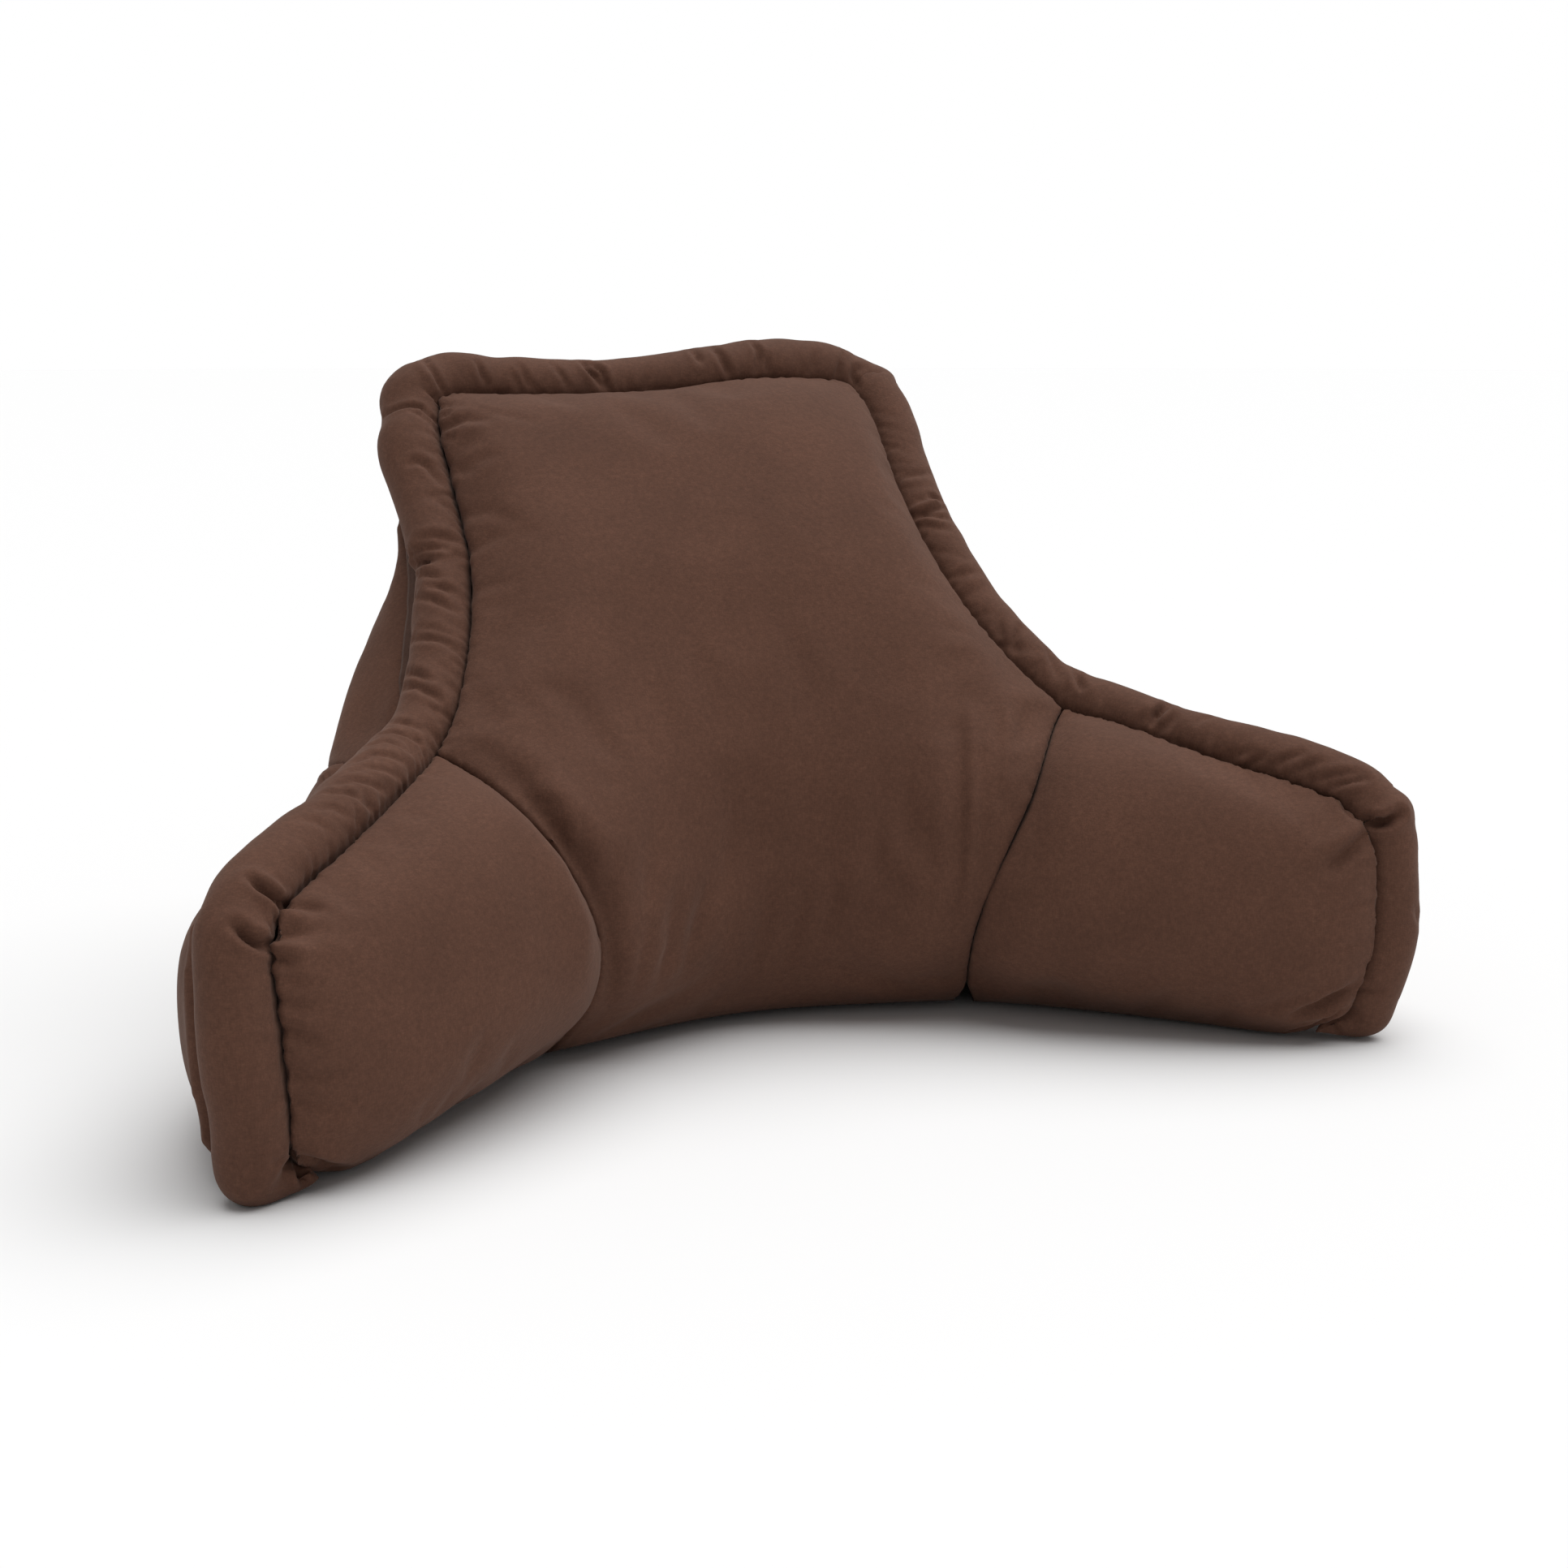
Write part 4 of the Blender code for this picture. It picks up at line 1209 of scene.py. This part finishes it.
class CUSHION_OT_make_roll(bpy.types.Operator):
    """Makes the gathered roll round the front outline"""

    bl_idname = "cushion.make_roll"
    bl_label = "Make Roll"

    def execute(self, context):
        material = brushed_cloth("roll_cloth", context.scene.cloth_settings.colour)
        line = roll_line()
        cover = roll_cover(line, ROLL_SEED)
        crinkled(cover, roll_held(cover, line), line.unrolled(), ROLL_SLACK)
        shaped(cover, "roll", line)
        finish_piece(cover, ROLL_NODES, material)
        return {"FINISHED"}


# The filled back and arms.


def lobe_copy(node, name, spacing):
    """A lobe's solid as an even, smooth mesh, and a search tree over it with its sewn edges."""
    mesh = welded(node)
    bmesh.ops.join_triangles(
        mesh,
        faces=mesh.faces,
        angle_face_threshold=math.radians(60),
        angle_shape_threshold=math.radians(70),
    )
    sewn = mesh.edges.layers.float.new("crease_edge")
    for edge in mesh.edges:
        if edge.calc_face_angle(0.0) > SEAM_ANGLE:
            edge[sewn] = SEAM_CREASE
    thing = new_piece(name, mesh)
    applied(thing, "SUBSURF", levels=LOBE_LEVELS)
    sharp = mesh_tree(thing.data)
    applied(thing, "REMESH", mode="VOXEL", voxel_size=spacing)
    applied(thing, "SMOOTH", factor=0.5, iterations=SMOOTH_REPEATS)
    return thing, sharp


def seam_distance(points, line, node):
    """How far each point of a lobe is from the seams that it is sewn along."""
    distance = nearest(points, line.seam())[1]
    others = lobe_tree([name for name in LOBES if name != node])
    found = [others.find_nearest(Vector(point), NEIGHBOUR_REACH)[3] for point in points]
    return np.minimum(distance, [away or NEIGHBOUR_REACH for away in found])


def with_seams(cover, sharp, line, distance):
    """Draws a lobe's cover back to its sharp edges, and closes it against the roll's seam."""
    skin = Skin(cover)
    for k in np.flatnonzero(distance < SEAM_REACH):
        target, facing, _, _ = sharp.find_nearest(Vector(skin.points[k]))
        share = 1 - distance[k] / SEAM_REACH
        skin.points[k] += (np.array(target) - skin.points[k]) * share
        turned = 1 - abs(facing.dot(Vector(skin.normals[k])))
        skin.points[k] += skin.normals[k] * turned * CORNER_FILL * min(share * 2, 1.0)
    seam = line.seam()
    number, away = nearest(skin.points, seam)
    gap = nearest(seam, skin.points)[1][number]
    pull = np.clip(gap - SEAM_OPENING, 0.0, SEAM_PULL) * (gap < 2 * SEAM_PULL)
    pull *= np.clip(1 - (away - gap) / SEAM_CLOSING, 0.0, 1.0)
    skin.points += unit(seam[number] - skin.points + 1e-9) * pull[:, None]
    skin.push(-SEAM_DEPTH * np.exp(-((away / SEAM_WIDTH) ** 2)))
    skin.write()


def rounded_under(cover):
    """Rounds a lobe's lower edge, where the filling lifts it off the floor."""
    skin = Skin(cover)
    low = np.clip(1 - skin.points[:, 2] / UNDER_ROUNDING, 0.0, 1.0) ** 2
    skin.points[:, :2] -= skin.normals[:, :2] * (low * UNDER_SLOPE)[:, None]
    skin.write()


def pucker(skin, seam, seed):
    """Small puckers that run from a sewn seam into the panel."""
    depth = bpy.context.scene.shape_settings.pucker_depth
    number, distance = nearest(skin.points, seam)
    steps = np.linalg.norm(np.diff(seam, axis=0), axis=1)
    along = np.concatenate([[0.0], np.cumsum(steps)])[number]
    chance = np.random.default_rng(seed)
    height = np.zeros(len(along))
    place = 0.0
    while place < along.max():
        reach = chance.uniform(0.006, 0.022)
        slant = chance.normal(0.0, 0.25)
        width = chance.uniform(0.0016, 0.0034)
        offset = along - place - slant * distance
        fade = np.exp(-((distance / reach) ** 1.5))
        fade *= 1 - 0.7 * np.exp(-((distance / PUCKER_START) ** 2))
        drawn = depth * chance.uniform(0.1, 1.1) * fade
        height -= drawn * crease(offset, width * (1 + distance / 0.02))
        place += chance.uniform(0.007, 0.022)
    return height


def fold(points, tree, plan):
    """The height that a fold adds at each point of a cover."""
    trail = picture_trail(tree, plan.trail)
    if len(trail) < 2:
        return 0.0
    number, distance = nearest(points, trail)
    along = number / (len(trail) - 1)
    taper = np.clip(np.sin(math.pi * (0.08 + 0.84 * along)), 0.0, 1.0) ** 0.6
    return plan.height * taper * crease(distance, plan.width)


def shaped(cover, name, line, height=0.0):
    """Draws the named cover's folds into it, and shifts it to where the picture has it."""
    skin = Skin(cover)
    tree = mesh_tree(cover.data)
    height = height + np.zeros(len(skin.points))
    for plan in FOLDS:
        if plan.piece == name:
            height += fold(skin.points, tree, plan)
    skin.push(height)
    number, away = nearest(skin.points, line.centres)
    away = np.maximum(away - line.radii[number], 0.0)
    skin.points += line.shift[number] * np.exp(-((away / SHIFT_REACH) ** 2))[:, None]
    skin.write()


class CUSHION_OT_make_lobes(bpy.types.Operator):
    """Makes the covers of the filled back and the two filled arms"""

    bl_idname = "cushion.make_lobes"
    bl_label = "Make Back and Arms"

    def execute(self, context):
        spacing = context.scene.shape_settings.spacing
        material = brushed_cloth("cloth", context.scene.cloth_settings.colour)
        line = roll_line()
        for seed, (name, node) in enumerate(COVERS, 3):
            coarser = BACK_COARSER if node == "back_cushion" else 1.0
            cover, sharp = lobe_copy(node, name + "_cover", spacing * 2 * coarser)
            points = Skin(cover).points
            distance = seam_distance(points, line, node)
            held = np.clip(1.4 - distance / HELD_REACH, 0.0, 1.0)
            held = np.maximum(held, np.clip(1.5 - points[:, 2] / HELD_REACH, 0.0, 1.0))
            crinkled(cover, held, LOBE_EASE, LOBE_SLACK)
            kept = cover.data.attributes.new("seam_distance", "FLOAT", "POINT")
            kept.data.foreach_set("value", distance.astype(np.float32))
            applied(cover, "SUBSURF", levels=1)
            distance = np.empty(len(cover.data.vertices), np.float32)
            cover.data.attributes["seam_distance"].data.foreach_get("value", distance)
            cover.data.attributes.remove(cover.data.attributes["seam_distance"])
            with_seams(cover, sharp, line, distance.astype(float))
            rounded_under(cover)
            shaped(cover, name, line, pucker(Skin(cover), line.seam(), seed * LOBE_SEED))
            finish_piece(cover, (node,), material)
        return {"FINISHED"}


# The band behind the roll.


class CUSHION_OT_make_band(bpy.types.Operator):
    """Makes the flat band behind the roll, a little wavy"""

    bl_idname = "cushion.make_band"
    bl_label = "Make Edge Band"

    def execute(self, context):
        # The band's material takes the band colour, which holds painted shade of the gap behind
        # the roll on top of the band's own darker cloth.
        material = brushed_cloth("band_cloth", context.scene.cloth_settings.band_colour_with_painted_shade)
        line = roll_line()
        mesh = welded("edge_band")
        bmesh.ops.subdivide_edges(mesh, edges=mesh.edges, cuts=BAND_CUTS, use_grid_fill=True)
        cover = new_piece("band_cover", mesh)
        skin = Skin(cover)
        number = nearest(skin.points, line.centres)[0]
        length = line.length[number]
        waves = 1 + drift(length, 0.016, 5) + 0.4 * drift(length, 0.006, 6)
        own = [line.at_picture(x, y) for x, y, _ in BAND_PROUD]
        proud = np.interp(length, own, [height for _, _, height in BAND_PROUD])
        skin.points += line.outward[number] * (waves * BAND_WAVE + proud)[:, None]
        near = np.exp(-((nearest(skin.points, line.centres)[1] / BAND_REACH) ** 2))
        skin.points += line.shift[number] * near[:, None]
        skin.write()
        finish_piece(cover, ("edge_band",), material)
        return {"FINISHED"}


# The studio.


def soft_sun(name, towards, strength, spread):
    """An even light from a wide patch of the ceiling."""
    data = bpy.data.lights.new(name, "SUN")
    data.energy = strength
    data.angle = spread
    light = bpy.data.objects.new(name, data)
    light.rotation_euler = Vector(towards).to_track_quat("-Z", "Y").to_euler()
    bpy.context.scene.collection.objects.link(light)


def studio_floor():
    """A wide, flat, pale floor."""
    mesh = bmesh.new()
    rim = [2 * math.pi * k / FLOOR_SIDES for k in range(FLOOR_SIDES)]
    around = [(FLOOR_REACH * math.cos(turn), FLOOR_REACH * math.sin(turn), 0) for turn in rim]
    mesh.faces.new([mesh.verts.new(place) for place in around])
    floor = new_piece("studio_floor", mesh)
    material = bpy.data.materials.new("studio_paper")
    material.use_nodes = True
    shader = material.node_tree.nodes["Principled BSDF"]
    shader.inputs["Base Color"].default_value = FLOOR_COLOUR
    shader.inputs["Roughness"].default_value = 0.9
    shader.inputs["Specular IOR Level"].default_value = 0.1
    floor.data.materials.append(material)


class CUSHION_OT_make_stage(bpy.types.Operator):
    """Makes the pale floor, the soft lights and the camera"""

    bl_idname = "cushion.make_stage"
    bl_label = "Make Stage"

    def execute(self, context):
        scene = context.scene
        studio = scene.studio_settings
        scene.view_settings.view_transform = "Standard"
        studio_floor()
        soft_sun("overhead_light", LIGHT_WAY, studio.overhead, LIGHT_SPREAD)
        world = bpy.data.worlds.new("studio_light")
        world.use_nodes = True
        tree = world.node_tree
        background = tree.nodes["Background"]
        background.inputs["Color"].default_value = (1.0, 1.0, 1.0, 1.0)
        seen = tree.nodes.new("ShaderNodeLightPath").outputs["Is Camera Ray"]
        strength = combined(tree, "MAXIMUM", seen, studio.ambient)
        tree.links.new(strength, background.inputs["Strength"])
        scene.world = world

        data = bpy.data.cameras.new("camera")
        data.sensor_width = SENSOR
        data.lens = studio.lens
        data.clip_end = 50.0
        camera = bpy.data.objects.new("camera", data)
        scene.collection.objects.link(camera)
        camera.location = camera_place()
        into = picture_axes()[0]
        camera.rotation_euler = into.to_track_quat("-Z", "Y").to_euler()
        scene.camera = camera
        return {"FINISHED"}


# The panel in the sidebar, and the run.


class CUSHION_PT_panel(bpy.types.Panel):
    """The cushion's settings and pieces, in the sidebar"""

    bl_idname = "CUSHION_PT_panel"
    bl_label = "Reading Cushion"
    bl_space_type = "VIEW_3D"
    bl_region_type = "UI"
    bl_category = "Cushion"

    def draw(self, context):
        scene = context.scene
        for group in (scene.cloth_settings, scene.shape_settings, scene.studio_settings):
            box = self.layout.box()
            for name in type(group).__annotations__:
                box.prop(group, name)
        for operator in OPERATORS:
            self.layout.operator(operator.bl_idname)


OPERATORS = (
    CUSHION_OT_make_stage,
    CUSHION_OT_make_lobes,
    CUSHION_OT_make_roll,
    CUSHION_OT_make_band,
)
CLASSES = (ClothSettings, ShapeSettings, StudioSettings, *OPERATORS, CUSHION_PT_panel)


def register():
    for item in CLASSES:
        bpy.utils.register_class(item)
    bpy.types.Scene.cloth_settings = bpy.props.PointerProperty(type=ClothSettings)
    bpy.types.Scene.shape_settings = bpy.props.PointerProperty(type=ShapeSettings)
    bpy.types.Scene.studio_settings = bpy.props.PointerProperty(type=StudioSettings)


def unregister():
    del bpy.types.Scene.cloth_settings
    del bpy.types.Scene.shape_settings
    del bpy.types.Scene.studio_settings
    for item in reversed(CLASSES):
        bpy.utils.unregister_class(item)


def main():
    register()
    bpy.ops.cushion.make_stage()
    bpy.ops.cushion.make_lobes()
    bpy.ops.cushion.make_roll()
    bpy.ops.cushion.make_band()


if __name__ == "__main__":
    main()
